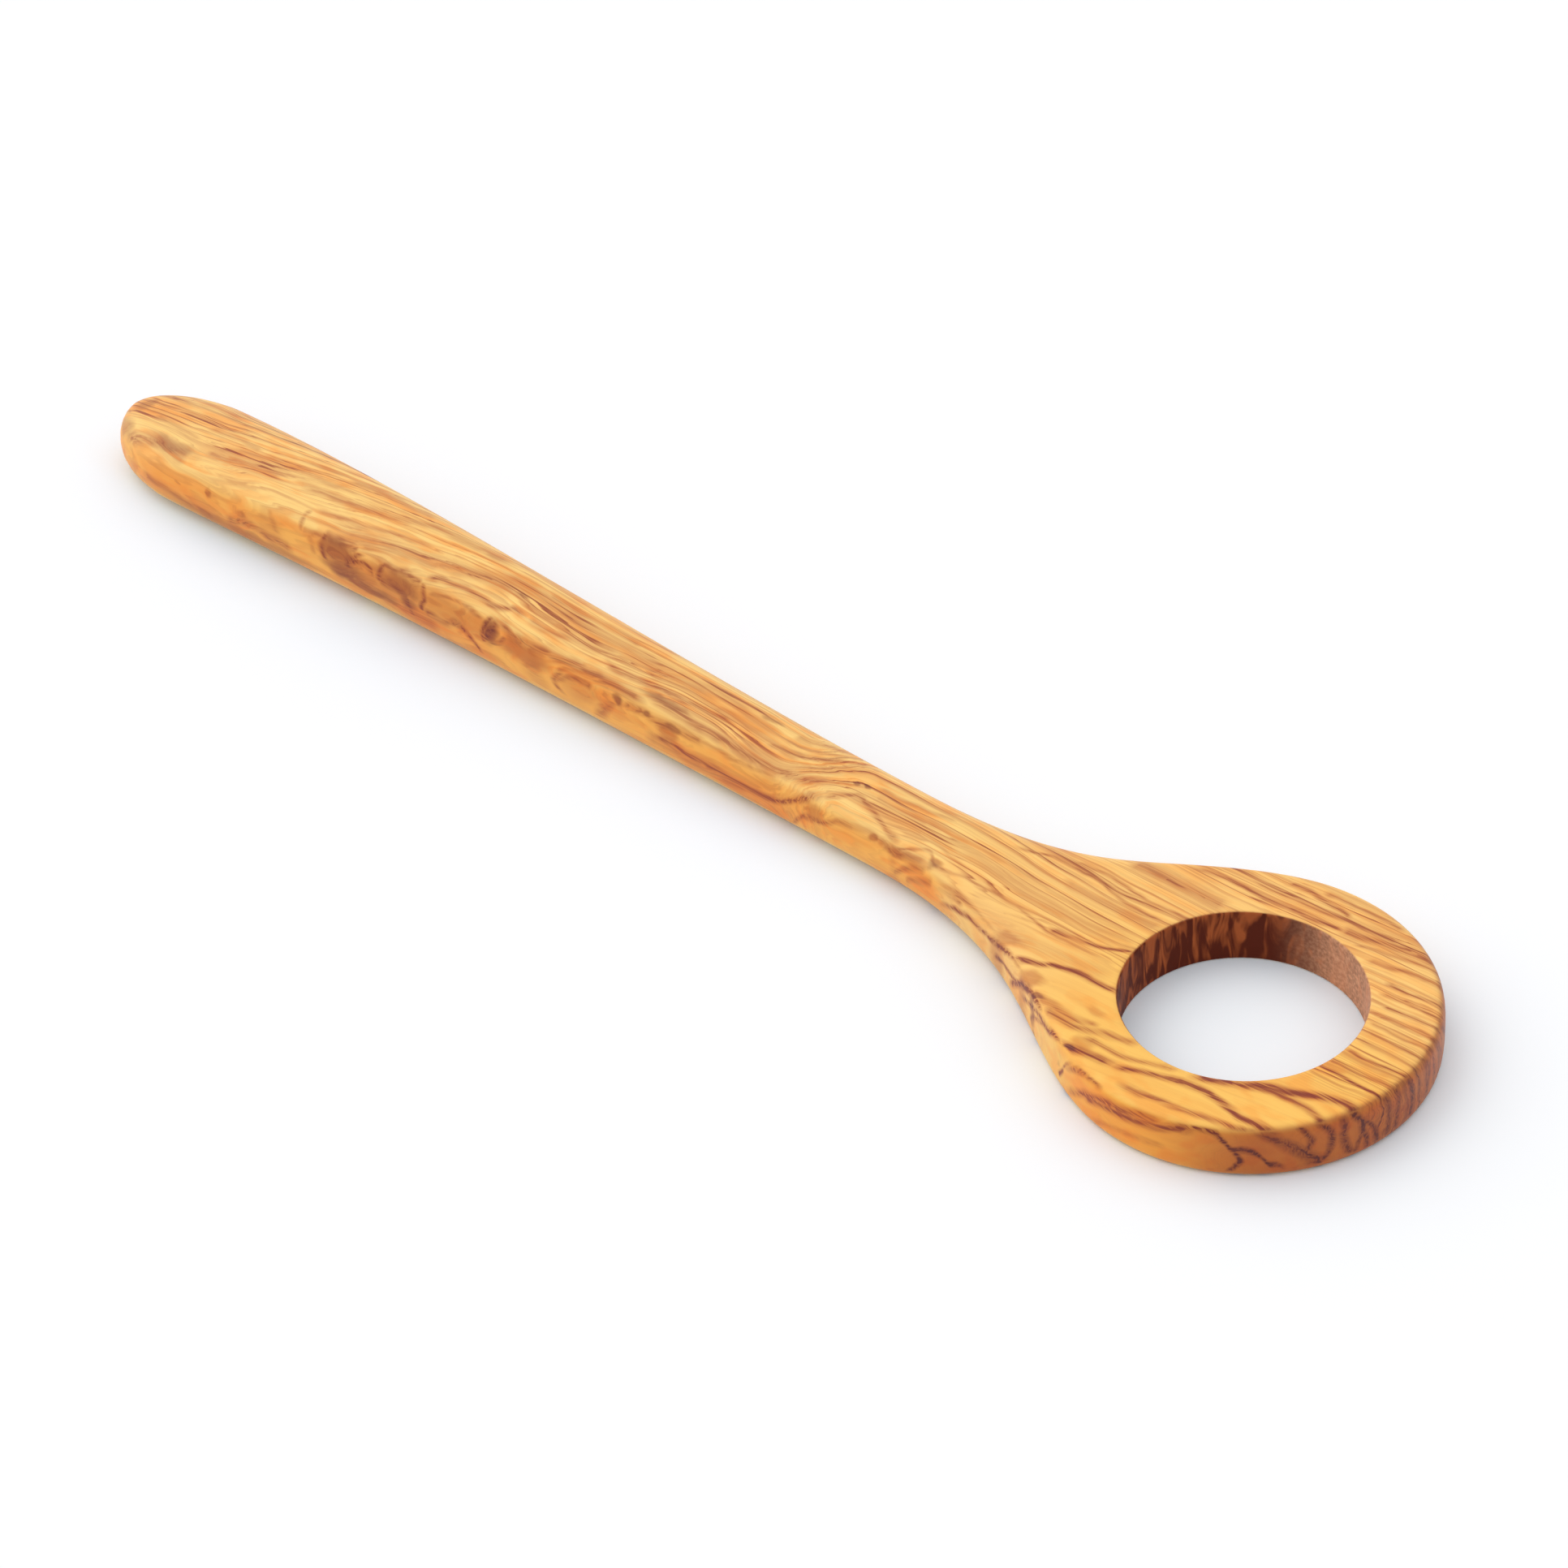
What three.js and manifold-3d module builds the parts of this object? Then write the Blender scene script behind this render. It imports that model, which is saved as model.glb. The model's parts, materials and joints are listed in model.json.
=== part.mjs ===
// A batter whisk of one piece of olive wood: a flat ring head with one bored hole, a narrow neck
// and an oval handle that swells to a round butt. Millimetres, +Z up. The whisk lies on its back on
// the plane z = 0, with its origin under the middle of its length and its head towards +X.

import * as THREE from 'three';
import { LoftGeometry } from 'three/addons/geometries/LoftGeometry.js';
import { mergeVertices } from 'three/addons/utils/BufferGeometryUtils.js';
import Module from 'manifold-3d';

// Driving dimensions.
const LENGTH = 300;                // butt to tip
const HEAD_DIAMETER = 66;          // round head, across
const HEAD_THICKNESS = 10.5;       // flat head, underside to top
const HOLE_DIAMETER = 42;          // bored through the head
const TIP_WALL = 12.8;             // wood between the hole and the tip
const EDGE_ROUND = 1.8;            // round-over on the head's outer edges
const NECK_WIDTH = 16;             // narrowest place
const NECK_THICKNESS = 12;
const NECK_FROM_TIP = 108;
const GRIP_WIDTH = 23.7;           // widest place of the handle
const GRIP_FROM_BUTT = 20;
const SWELL_THICKNESS = 15.5;      // thickest place of the handle
const SWELL_FROM_BUTT = 68;
const BUTT_THICKNESS = 10.7;       // where the handle's top line meets the butt's end

// Shape of the curves between those places. A pull is a share of the straight run it belongs to.
const SHOULDER_LEAVES_HEAD = THREE.MathUtils.degToRad(107.4); // round the head, from the tip
const SHOULDER_PULL_AT_HEAD = 0.293;
const SHOULDER_PULL_AT_NECK = 0.544;
const FLARE_PULL_AT_NECK = 0.635;
const FLARE_PULL_AT_GRIP = 0.107;
const HANDLE_FULLNESS = 2.6;       // exponent of the handle's oval: 2 is an ellipse, more is squarer
const ROUND_FULLNESS = 2;          // exponent of the head's round-over
const BELLY_SHARE = 0.47;          // height of the handle's widest line, as a share of its thickness
const HANDLE_ROUND_SHARE = 0.92;   // how far the handle's rounding reaches from its side to its spine
const HEEL_OVERLAP = 6;            // the rounding starts to grow this far inside the head's heel

// Steps of the faceted surface.
const HEAD_STEPS = 22;
const SHOULDER_STEPS = 18;
const HANDLE_STEPS = 16;
const BUTT_STEPS = 10;
const TOP_ROUND_STEPS = 9;
const UNDER_ROUND_STEPS = 6;
const HOLE_STEPS = 72;
const HOLE_OVERRUN = 1;            // how far the boring tool passes both faces

// Places along the length.
const tip = LENGTH / 2;
const butt = -LENGTH / 2;
const headRadius = HEAD_DIAMETER / 2;
const headCentre = tip - headRadius;
const headHeel = tip - HEAD_DIAMETER;
const neck = tip - NECK_FROM_TIP;
const grip = butt + GRIP_FROM_BUTT;
const swell = butt + SWELL_FROM_BUTT;
const holeRadius = HOLE_DIAMETER / 2;
const holeCentre = tip - TIP_WALL - holeRadius;

const { lerp, smoothstep } = THREE.MathUtils;

// Height of the top line over the plane that the whisk lies on.
function topHeight(x) {
  if (x >= neck) {
    return lerp(NECK_THICKNESS, HEAD_THICKNESS, smoothstep(x, neck, headHeel));
  }
  if (x >= swell) {
    return lerp(SWELL_THICKNESS, NECK_THICKNESS, smoothstep(x, swell, neck));
  }
  const past = (swell - x) / SWELL_FROM_BUTT;
  return lerp(SWELL_THICKNESS, BUTT_THICKNESS, past * past);
}

// Half of the plan outline, from the tip along the +Y side to the butt, as curves with their steps.
function halfOutline() {
  const leave = new THREE.Vector2(
    headCentre + headRadius * Math.cos(SHOULDER_LEAVES_HEAD),
    headRadius * Math.sin(SHOULDER_LEAVES_HEAD),
  );
  const leaveDirection = new THREE.Vector2(-Math.sin(SHOULDER_LEAVES_HEAD), Math.cos(SHOULDER_LEAVES_HEAD));
  const neckSide = new THREE.Vector2(neck, NECK_WIDTH / 2);
  const gripSide = new THREE.Vector2(grip, GRIP_WIDTH / 2);
  const alongHandle = new THREE.Vector2(-1, 0);
  const shoulderRun = leave.distanceTo(neckSide);
  const flareRun = neckSide.distanceTo(gripSide);
  const from = (point, direction, pull) => point.clone().addScaledVector(direction, pull);
  return [
    {
      curve: new THREE.EllipseCurve(headCentre, 0, headRadius, headRadius, 0, SHOULDER_LEAVES_HEAD),
      steps: HEAD_STEPS,
    },
    {
      curve: new THREE.CubicBezierCurve(
        leave,
        from(leave, leaveDirection, SHOULDER_PULL_AT_HEAD * shoulderRun),
        from(neckSide, alongHandle, -SHOULDER_PULL_AT_NECK * shoulderRun),
        neckSide,
      ),
      steps: SHOULDER_STEPS,
    },
    {
      curve: new THREE.CubicBezierCurve(
        neckSide,
        from(neckSide, alongHandle, FLARE_PULL_AT_NECK * flareRun),
        from(gripSide, alongHandle, -FLARE_PULL_AT_GRIP * flareRun),
        gripSide,
      ),
      steps: HANDLE_STEPS,
    },
    {
      curve: new THREE.EllipseCurve(grip, 0, GRIP_FROM_BUTT, GRIP_WIDTH / 2, Math.PI / 2, Math.PI),
      steps: BUTT_STEPS,
    },
  ];
}

// One place on the outline: its side point, the way in from there, and how far in the spine lies.
function stationAt(curve, share, reachAtEnd) {
  const side = curve.getPointAt(share);
  const along = curve.getTangentAt(share);
  const inward = new THREE.Vector2(-along.y, along.x);
  const reach = reachAtEnd ?? side.y / -inward.y;
  return { side, inward, reach };
}

// Every place from the tip to the butt. At both ends the spine lies one end radius in.
function outlineStations() {
  const buttRadius = (GRIP_WIDTH / 2) ** 2 / GRIP_FROM_BUTT;
  const pieces = halfOutline();
  const stations = [stationAt(pieces[0].curve, 0, headRadius)];
  for (const { curve, steps } of pieces) {
    for (let step = 1; step <= steps; step += 1) {
      const atButt = curve === pieces.at(-1).curve && step === steps;
      stations.push(stationAt(curve, step / steps, atButt ? buttRadius : undefined));
    }
  }
  return stations;
}

// The rounding of the section at one place. It grows from a small round-over on the head's edges
// to the full oval of the handle.
function sectionAt({ side, inward, reach }) {
  const top = topHeight(side.x + inward.x * reach);
  const handleShare = 1 - smoothstep(side.x, neck, headHeel + HEEL_OVERLAP);
  const grow = (onHead, onHandle) => lerp(onHead, onHandle, handleShare);
  return {
    top,
    depth: grow(EDGE_ROUND, HANDLE_ROUND_SHARE * reach),
    rise: grow(EDGE_ROUND, BELLY_SHARE * top),
    drop: grow(EDGE_ROUND, (1 - BELLY_SHARE) * top),
    power: 2 / grow(ROUND_FULLNESS, HANDLE_FULLNESS),
  };
}

// One closed ring of points around the whisk: the +Y side from tip to butt, then the -Y side back.
function ring(stations, placeAt) {
  const placed = stations.map((station) => {
    const { inset, height } = placeAt(station);
    const point = station.side.clone().addScaledVector(station.inward, inset);
    return new THREE.Vector3(point.x, point.y, height);
  });
  const back = placed.slice(1, -1).reverse();
  return [...placed, ...back.map((point) => new THREE.Vector3(point.x, -point.y, point.z))];
}

// The whole blank as rings from the spine of the underside, out round the edges, to the top's spine.
function blankGeometry() {
  const stations = outlineStations();
  stations.forEach((station) => Object.assign(station, { section: sectionAt(station) }));
  const rounded = (share, { depth, power }) => depth * (1 - Math.cos(share * Math.PI / 2) ** power);
  const levelled = (share, { power }) => 1 - Math.sin(share * Math.PI / 2) ** power;
  const rings = [ring(stations, ({ reach }) => ({ inset: reach, height: 0 }))];
  for (let step = UNDER_ROUND_STEPS; step >= 0; step -= 1) {
    const share = step / UNDER_ROUND_STEPS;
    rings.push(ring(stations, ({ section }) => ({
      inset: rounded(share, section),
      height: section.rise * levelled(share, section),
    })));
  }
  for (let step = 0; step <= TOP_ROUND_STEPS; step += 1) {
    const share = step / TOP_ROUND_STEPS;
    rings.push(ring(stations, ({ section }) => ({
      inset: rounded(share, section),
      height: section.top - section.drop * levelled(share, section),
    })));
  }
  rings.push(ring(stations, ({ reach, section }) => ({ inset: reach, height: section.top })));
  return new LoftGeometry(rings);
}

// The boring tool: a straight cylinder through the head.
function boreGeometry() {
  const length = HEAD_THICKNESS + 2 * HOLE_OVERRUN;
  const bore = new THREE.CylinderGeometry(holeRadius, holeRadius, length, HOLE_STEPS);
  bore.rotateX(Math.PI / 2);
  bore.translate(holeCentre, 0, HEAD_THICKNESS / 2);
  return bore;
}

const wasm = await Module();
wasm.setup();

// A closed geometry as a solid. Triangles that lost a side where points met are left out.
function solidFrom(geometry) {
  const bare = new THREE.BufferGeometry();
  bare.setAttribute('position', geometry.getAttribute('position'));
  bare.setIndex(geometry.getIndex());
  const merged = mergeVertices(bare);
  const corners = merged.getIndex().array;
  const triVerts = [];
  for (let at = 0; at < corners.length; at += 3) {
    const triangle = corners.slice(at, at + 3);
    if (new Set(triangle).size === 3) {
      triVerts.push(...triangle);
    }
  }
  return new wasm.Manifold(new wasm.Mesh({
    numProp: 3,
    vertProperties: Float32Array.from(merged.getAttribute('position').array),
    triVerts: Uint32Array.from(triVerts),
  }));
}

// A solid as a geometry again.
function geometryFrom(solid) {
  const mesh = solid.getMesh();
  const geometry = new THREE.BufferGeometry();
  geometry.setAttribute('position', new THREE.BufferAttribute(mesh.vertProperties, 3));
  geometry.setIndex(new THREE.BufferAttribute(mesh.triVerts, 1));
  geometry.computeVertexNormals();
  return geometry;
}

const oiledOliveWood = new THREE.MeshStandardMaterial({ color: 0xc98a3c, roughness: 0.45, metalness: 0 });

const whiskBody = new THREE.Mesh(
  geometryFrom(solidFrom(blankGeometry()).subtract(solidFrom(boreGeometry()))),
  oiledOliveWood,
);
whiskBody.name = 'whisk_body';

const whisk = new THREE.Group();
whisk.add(whiskBody);

export default whisk;
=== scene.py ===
# A batter whisk carved from one piece of olive wood, on a plain studio floor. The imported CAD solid
# sets its sizes. Lengths are metres, except in the wood's figure, which is laid out in millimetres.

import json
import math
from types import SimpleNamespace

import bmesh
import bpy
from mathutils import Matrix, Vector


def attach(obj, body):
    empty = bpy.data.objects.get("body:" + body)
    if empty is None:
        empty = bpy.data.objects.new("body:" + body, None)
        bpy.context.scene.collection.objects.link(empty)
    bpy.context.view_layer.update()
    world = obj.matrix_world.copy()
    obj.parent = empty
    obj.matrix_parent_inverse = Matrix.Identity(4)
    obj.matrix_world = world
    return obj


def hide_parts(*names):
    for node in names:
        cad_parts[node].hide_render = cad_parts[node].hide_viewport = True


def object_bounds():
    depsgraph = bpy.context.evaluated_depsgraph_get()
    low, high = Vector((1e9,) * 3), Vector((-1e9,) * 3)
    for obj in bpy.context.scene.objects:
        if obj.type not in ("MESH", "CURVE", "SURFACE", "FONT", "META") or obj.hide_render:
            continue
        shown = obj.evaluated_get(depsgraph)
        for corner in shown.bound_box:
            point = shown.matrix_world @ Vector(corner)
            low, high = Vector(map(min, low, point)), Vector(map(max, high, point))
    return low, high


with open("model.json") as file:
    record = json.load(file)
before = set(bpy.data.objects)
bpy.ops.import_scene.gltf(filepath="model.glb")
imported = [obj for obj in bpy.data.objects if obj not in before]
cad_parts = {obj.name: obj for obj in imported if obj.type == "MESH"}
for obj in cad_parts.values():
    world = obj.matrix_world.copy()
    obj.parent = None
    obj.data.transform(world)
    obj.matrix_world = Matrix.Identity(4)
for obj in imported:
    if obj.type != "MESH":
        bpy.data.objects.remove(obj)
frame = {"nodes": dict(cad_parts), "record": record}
cad_low, cad_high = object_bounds()

bl_info = {
    "name": "Olive wood batter whisk",
    "version": (1, 0, 0),
    "blender": (4, 5, 0),
    "location": "3D View > Sidebar > Whisk",
    "description": "Carves a one-piece batter whisk over its CAD solid and sets it on a studio floor",
    "category": "Object",
}

SOLID = "whisk_body"
MM = 0.001

# Places on the solid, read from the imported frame.
HOLE_LOW, HOLE_HIGH = frame["record"]["physics"]["openings"][0]["box_m"]
HOLE_X = (HOLE_LOW[0] + HOLE_HIGH[0]) / 2
HEAD_RADIUS = cad_high.y
HEAD_X = cad_high.x - HEAD_RADIUS
SIDE_HEIGHT = 5 * MM               # where the plan's half width is measured

# Steps of the cage that the whisk is carved from.
SECTORS = 24                       # round the hole
FREE_SECTORS = 14                  # of these, the ones whose outer edge is the head's own edge
SHOULDER_ROWS = 9
HANDLE_ROWS = 13
BUTT_ROWS = 6
ROWS_STRAIGHTEN_AT = 45 * MM       # the rows are nearly straight from here
ROWS_CURVE_AT = -85 * MM           # and curve again from here, to follow the butt
LAST_ROW_AT = -133 * MM            # side of the last row
LEAST_BULGE = 0.8 * MM             # a row never gets quite straight, so that its curve isn't lost
STRAIGHTENING, CURVING = 1.3, 1.5  # exponents by which the rows' bulge goes and comes back
EASE_STEPS = 2                     # across the sanded ease of the rims
SHARP_ANGLE = math.radians(50)     # edges sharper than this stay sharp
HANDLE_LIFTS = ((45 * MM, 1.15), (0 * MM, 1.1), (-40 * MM, 1.12))

# How near to a line of the cage a corner counts as lying on it.
NEAR_CIRCLE = 0.1 * MM             # round the head
NEAR_TURN = 0.01                   # the same as an angle, in radians
NEAR_SIDE = 2 * MM                 # past the ends of the head's own edge, towards the tip
NEAR_RIM, NEAR_FACE = 0.3 * MM, 0.05 * MM  # from the hole's wall, and in height
OFF_RIM = 1 * MM                   # farther from the hole's wall than this isn't its rim
SAME_PLACE = 0.01 * MM
WELL_CLEAR = 100 * MM              # where a ray towards the solid starts

# The wood's figure, in millimetres: x along the whisk, y across it, z up. On the handle a place round the
# section is its turn, in degrees about the line y = 0 at AXIS_HEIGHT: 0 is the near side, 90 the back.
# On the head's edge it is the bearing from the head's centre, in degrees: 0 is the tip, -90 the near side.
AXIS_HEIGHT = 6.5
GRAIN_DRIFT = (                    # (from x, to x, how far the growth layers move across)
    (-132, -48, 10.0),
    (17, 33, 10.0),
    (95, 150, 4.0),
)
RING_SETS = (                      # (ring width, how much widths vary, least and most depth of a line)
    (2.4, 4.0, 0.45, 1.1),
    (0.9, 1.4, 0.1, 0.8),
)
EYES = (                           # (centre, half sizes, how far the layers bulge there)
    ((-84.8, -11.5, 10.2), (7.5, 9, 6.5), 3.2),
    ((-71, -11.5, 11), (7, 9, 6), 3.0),
    ((-57.5, -11.5, 9.8), (9, 9, 7), 3.0),
    ((-47.5, -11, 10), (5, 8, 5), 2.6),
    ((-38, -11, 8.5), (9, 9, 7), 3.4),
    ((-25, -10.5, 8.5), (8, 9, 6), 3.0),
    ((-6, -9.5, 8), (12, 7, 5), 2.2),
    ((27, -8.5, 8.5), (6, 6, 5), 2.0),
    ((43, -8, 9), (8, 6, 4), 1.8),
    ((-112, -11.5, 8), (10, 8, 5), 2.0),
    ((86, -18, 9), (12, 8, 8), 2.2),
    ((112, -33, 4), (22, 10, 8), 3.5),
    ((136, -28, 6), (14, 10, 8), 2.8),
    ((120, 21, 4), (16, 8, 9), 2.2),
)

# Veins: (breadth in mm, strength, points that the line passes).
VEIN_SPREAD = 1.15                 # a vein fades to nothing this many breadths from its middle
VEIN_TAPER = 0.8                   # the share of its half length from which it fades to its end
HANDLE_VEINS = (                   # points are (x, turn)
    (2.0, 0.68, ((-143, 21), (-140, 27), (-136, 33), (-132, 37), (-129, 35), (-125, 35))),
    (1.2, 0.45, ((-141, 74), (-137, 69), (-132, 66), (-127, 65))),
    (1.2, 0.45, ((-129, 94), (-124, 97), (-119, 97), (-114, 92))),
    (2.0, 0.55, ((-124, 53), (-118, 58), (-111, 65), (-105, 70))),
    (1.4, 0.50, ((-121, 70), (-118, 76), (-113, 84), (-107, 88), (-100, 92), (-92, 96))),
    (1.5, 0.60, ((-104, 73), (-98, 76), (-90, 80), (-84, 87), (-78, 98), (-72, 109), (-65, 114),
                 (-52, 121))),
    (1.5, 0.50, ((-95, 113), (-88, 119), (-84, 120), (-79, 122), (-74, 126))),
    (1.6, 0.72, ((-114, -3), (-111, 2), (-108, 5), (-105, 4), (-102, 1), (-99, 3), (-96, -4))),
    # Partly painted shade: a dark line in the band along the handle's underside, next to the floor.
    (1.4, 0.60, ((-136, -2), (-131, -2), (-127, -4), (-122, -6), (-116, -9))),
    (1.1, 0.59, ((-94.8, 49), (-93.5, 53), (-90, 56), (-86, 58), (-82, 63), (-78, 69), (-73, 76),
                 (-68, 82))),
    (1.1, 0.59, ((-94.6, 28), (-92, 30), (-90, 31.5), (-88, 34))),
    (2.5, 0.55, ((-88, 42), (-84, 45), (-80, 51), (-76, 56), (-71, 60), (-66, 66), (-61, 71), (-56, 79),
                 (-46, 87))),
    (1.3, 0.50, ((-82, 41), (-78, 47), (-73, 54), (-68, 58), (-63, 62))),
    (1.5, 0.68, ((-89.5, 34), (-87, 36.5), (-84, 37), (-82, 37), (-80.5, 33))),
    (1.2, 0.77, ((-82.3, 16), (-81.5, 22), (-80.3, 26), (-79, 27), (-77.5, 24.5), (-76.3, 18))),
    (3.2, 0.59, ((-88, 8), (-85, 2), (-81, 0), (-77, 1), (-74, -3), (-70, -5), (-66, -5), (-60, -3))),
    (1.2, 0.68, ((-75.5, 30), (-74, 37), (-72, 37), (-70, 40), (-67, 38), (-65, 39))),
    (1.4, 0.77, ((-75.5, 18), (-73, 16), (-71, 17), (-69, 15), (-68, 9), (-67, 3))),
    (1.4, 0.81, ((-65, 9), (-63, 6.5), (-60, 6), (-58.5, 8), (-57.3, 12), (-56, 13), (-54.5, 10),
                 (-53, 5), (-52, -1), (-51, -9), (-49.5, -14))),
    (0.8, 0.55, ((-64, 29), (-61, 35), (-57, 38), (-53, 37), (-50, 33))),
    (1.2, 0.77, ((-66, 43), (-63, 49), (-60, 52), (-57, 54), (-53, 54), (-49, 54), (-47, 57), (-45, 61),
                 (-42, 59))),
    (1.1, 0.59, ((-43, 58), (-40, 57), (-36, 58), (-32, 62), (-27, 66), (-24, 66))),
    (1.2, 0.72, ((-25, 66), (-23.5, 60), (-21, 55), (-18, 56), (-14, 60), (-10, 62), (-6, 61), (-3, 65),
                 (6, 69))),
    (1.6, 0.72, ((-49.5, 36), (-46, 37), (-43.5, 33), (-40, 32), (-37, 33), (-33, 34), (-29, 37),
                 (-24, 38), (-18, 36.5), (-11, 37))),
    (1.1, 0.55, ((-33, 12), (-31.5, 22), (-29.5, 29), (-27, 32), (-23, 33), (-19, 31))),
    (1.1, 0.64, ((-32.6, 4), (-31, 12), (-29, 19), (-26.5, 22), (-23.5, 20))),
    (1.5, 0.72, ((-17.5, 23), (-14, 23), (-12, 24.5), (-9, 22), (-6.5, 23), (-4.5, 26), (-2, 27),
                 (3, 26))),
    (1.4, 0.55, ((-45, 113), (-43, 108), (-40, 106), (-36, 105), (-32, 108), (-28, 111), (-20, 110))),
    (2.6, 0.50, ((-57, 93), (-50, 98), (-44, 99), (-38, 92), (-30, 92), (-22, 96), (-14, 92), (-6, 93),
                 (0, 97))),
    (1.2, 0.40, ((-42, 76), (-35, 75), (-29, 75), (-22, 77), (-14, 80))),
    (1.5, 0.40, ((-14, 100), (-8, 104), (-3, 110), (2, 107), (8, 98), (14, 96))),
    (1.5, 0.59, ((15, 112), (18, 114), (20, 120), (22, 128), (24, 137), (26, 147))),
    (1.2, 0.77, ((12, 71), (17, 73), (20, 78), (22, 88), (24, 98), (26, 111), (28, 125), (31, 142))),
    (0.8, 0.55, ((14, 94), (18, 95), (21, 102), (23, 112), (25, 124), (28, 142))),
    (1.2, 0.50, ((-2, 78), (4, 81), (8, 77), (13, 75), (18, 68), (21, 70))),
    (1.6, 0.72, ((-15, 47), (-11, 48), (-8, 45.5), (-5, 44), (-2, 43), (3, 42), (8, 40), (12, 37.5),
                 (16, 37), (20, 40), (24, 46), (27, 57), (31, 75))),
    (1.0, 0.55, ((27, 55), (29, 66), (31, 76), (33, 84), (34.5, 93))),
    (1.4, 0.81, ((-11, -3), (-6, 0), (0, -2), (6, -3), (12, -6), (17, -5), (20, 1), (22, 8), (24, 17),
                 (26, 27), (30, 44))),
    (1.1, 0.72, ((28, 36), (31, 49), (33, 58), (34.3, 62), (36, 58), (39, 52), (42, 43), (44.5, 35),
                 (47, 34))),
    (2.6, 0.55, ((-12, -10), (-6, -7), (0, -10), (6, -12), (14, -9))),
    (0.9, 0.50, ((-8, 20), (-5, 24), (-2, 27), (3, 26), (9, 25), (16, 28), (20, 31))),
    (1.2, 0.68, ((22, -30), (24, -18), (25.2, -7), (26.5, 0), (28.5, 1), (30, 4), (32, 11), (34, 19),
                 (38, 21))),
    (1.2, 0.64, ((34, 21), (38, 22), (40, 24), (43, 21), (46, 17), (49, 22), (54, 26))),
    (1.4, 0.64, ((46, -16), (47.5, -6), (49, 3), (51, 10), (54, 15))),
    (1.4, 0.59, ((49, -18), (51, -8), (53, 0), (56, 8))),
    (1.0, 0.50, ((35, 100), (38, 100), (42, 102), (46, 108), (52, 118))),
    (1.6, 0.55, ((36, 84), (38, 79), (41, 76), (44, 78), (49, 80))),
    (1.0, 0.45, ((36, 60), (41, 58), (45, 60), (50, 57))),
)
HANDLE_VEINS_ROUND = (             # points are (turn, x)
    (1.3, 0.40, ((12, -100.2), (20, -101.3), (28, -102.3), (34, -103))),
    (1.3, 0.44, ((9, -91.4), (18, -91.8), (28, -92.4))),
    (1.0, 0.60, ((25, -94.5), (34, -95), (42, -95.1), (51, -94.6))),
    (1.3, 0.76, ((9, -88), (16, -89), (24, -89.3), (31, -89), (38, -88.6))),
    (1.6, 0.72, ((12, -82.5), (20, -82.6), (26, -81.8), (32, -80.8), (38, -80))),
    (1.2, 0.72, ((14, -75), (22, -75.2), (30, -74.9), (38, -74.2))),
    (2.1, 0.72, ((-10, -67), (0, -67.6), (6, -68.2), (14, -69.2))),
    (1.0, 0.80, ((5, -64.6), (14, -64.8), (22, -64.2), (30, -64.6), (41, -65.2))),
    (1.0, 0.80, ((5, -49.2), (14, -49.8), (22, -49.9), (30, -49.6), (41, -48.8))),
    (2.1, 0.80, ((9, -48.9), (20, -48.6), (28, -48), (38, -47))),
    (1.2, 0.60, ((7, -48.4), (13, -46.6), (20, -45.8), (29, -45))),
    (3.9, 0.40, ((-20, -36.4), (-8, -37), (0, -37.6), (13, -38))),
    (1.3, 0.68, ((-13, -30), (-4, -31.8), (4, -32.5), (12, -32), (22, -30.8))),
    (2.1, 0.60, ((-22, -22.4), (-10, -21.6), (0, -20.8), (8, -19.8), (19, -18.6))),
    (1.0, 0.48, ((-18, -6.8), (-10, -6.4), (-2, -5.6))),
)
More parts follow.
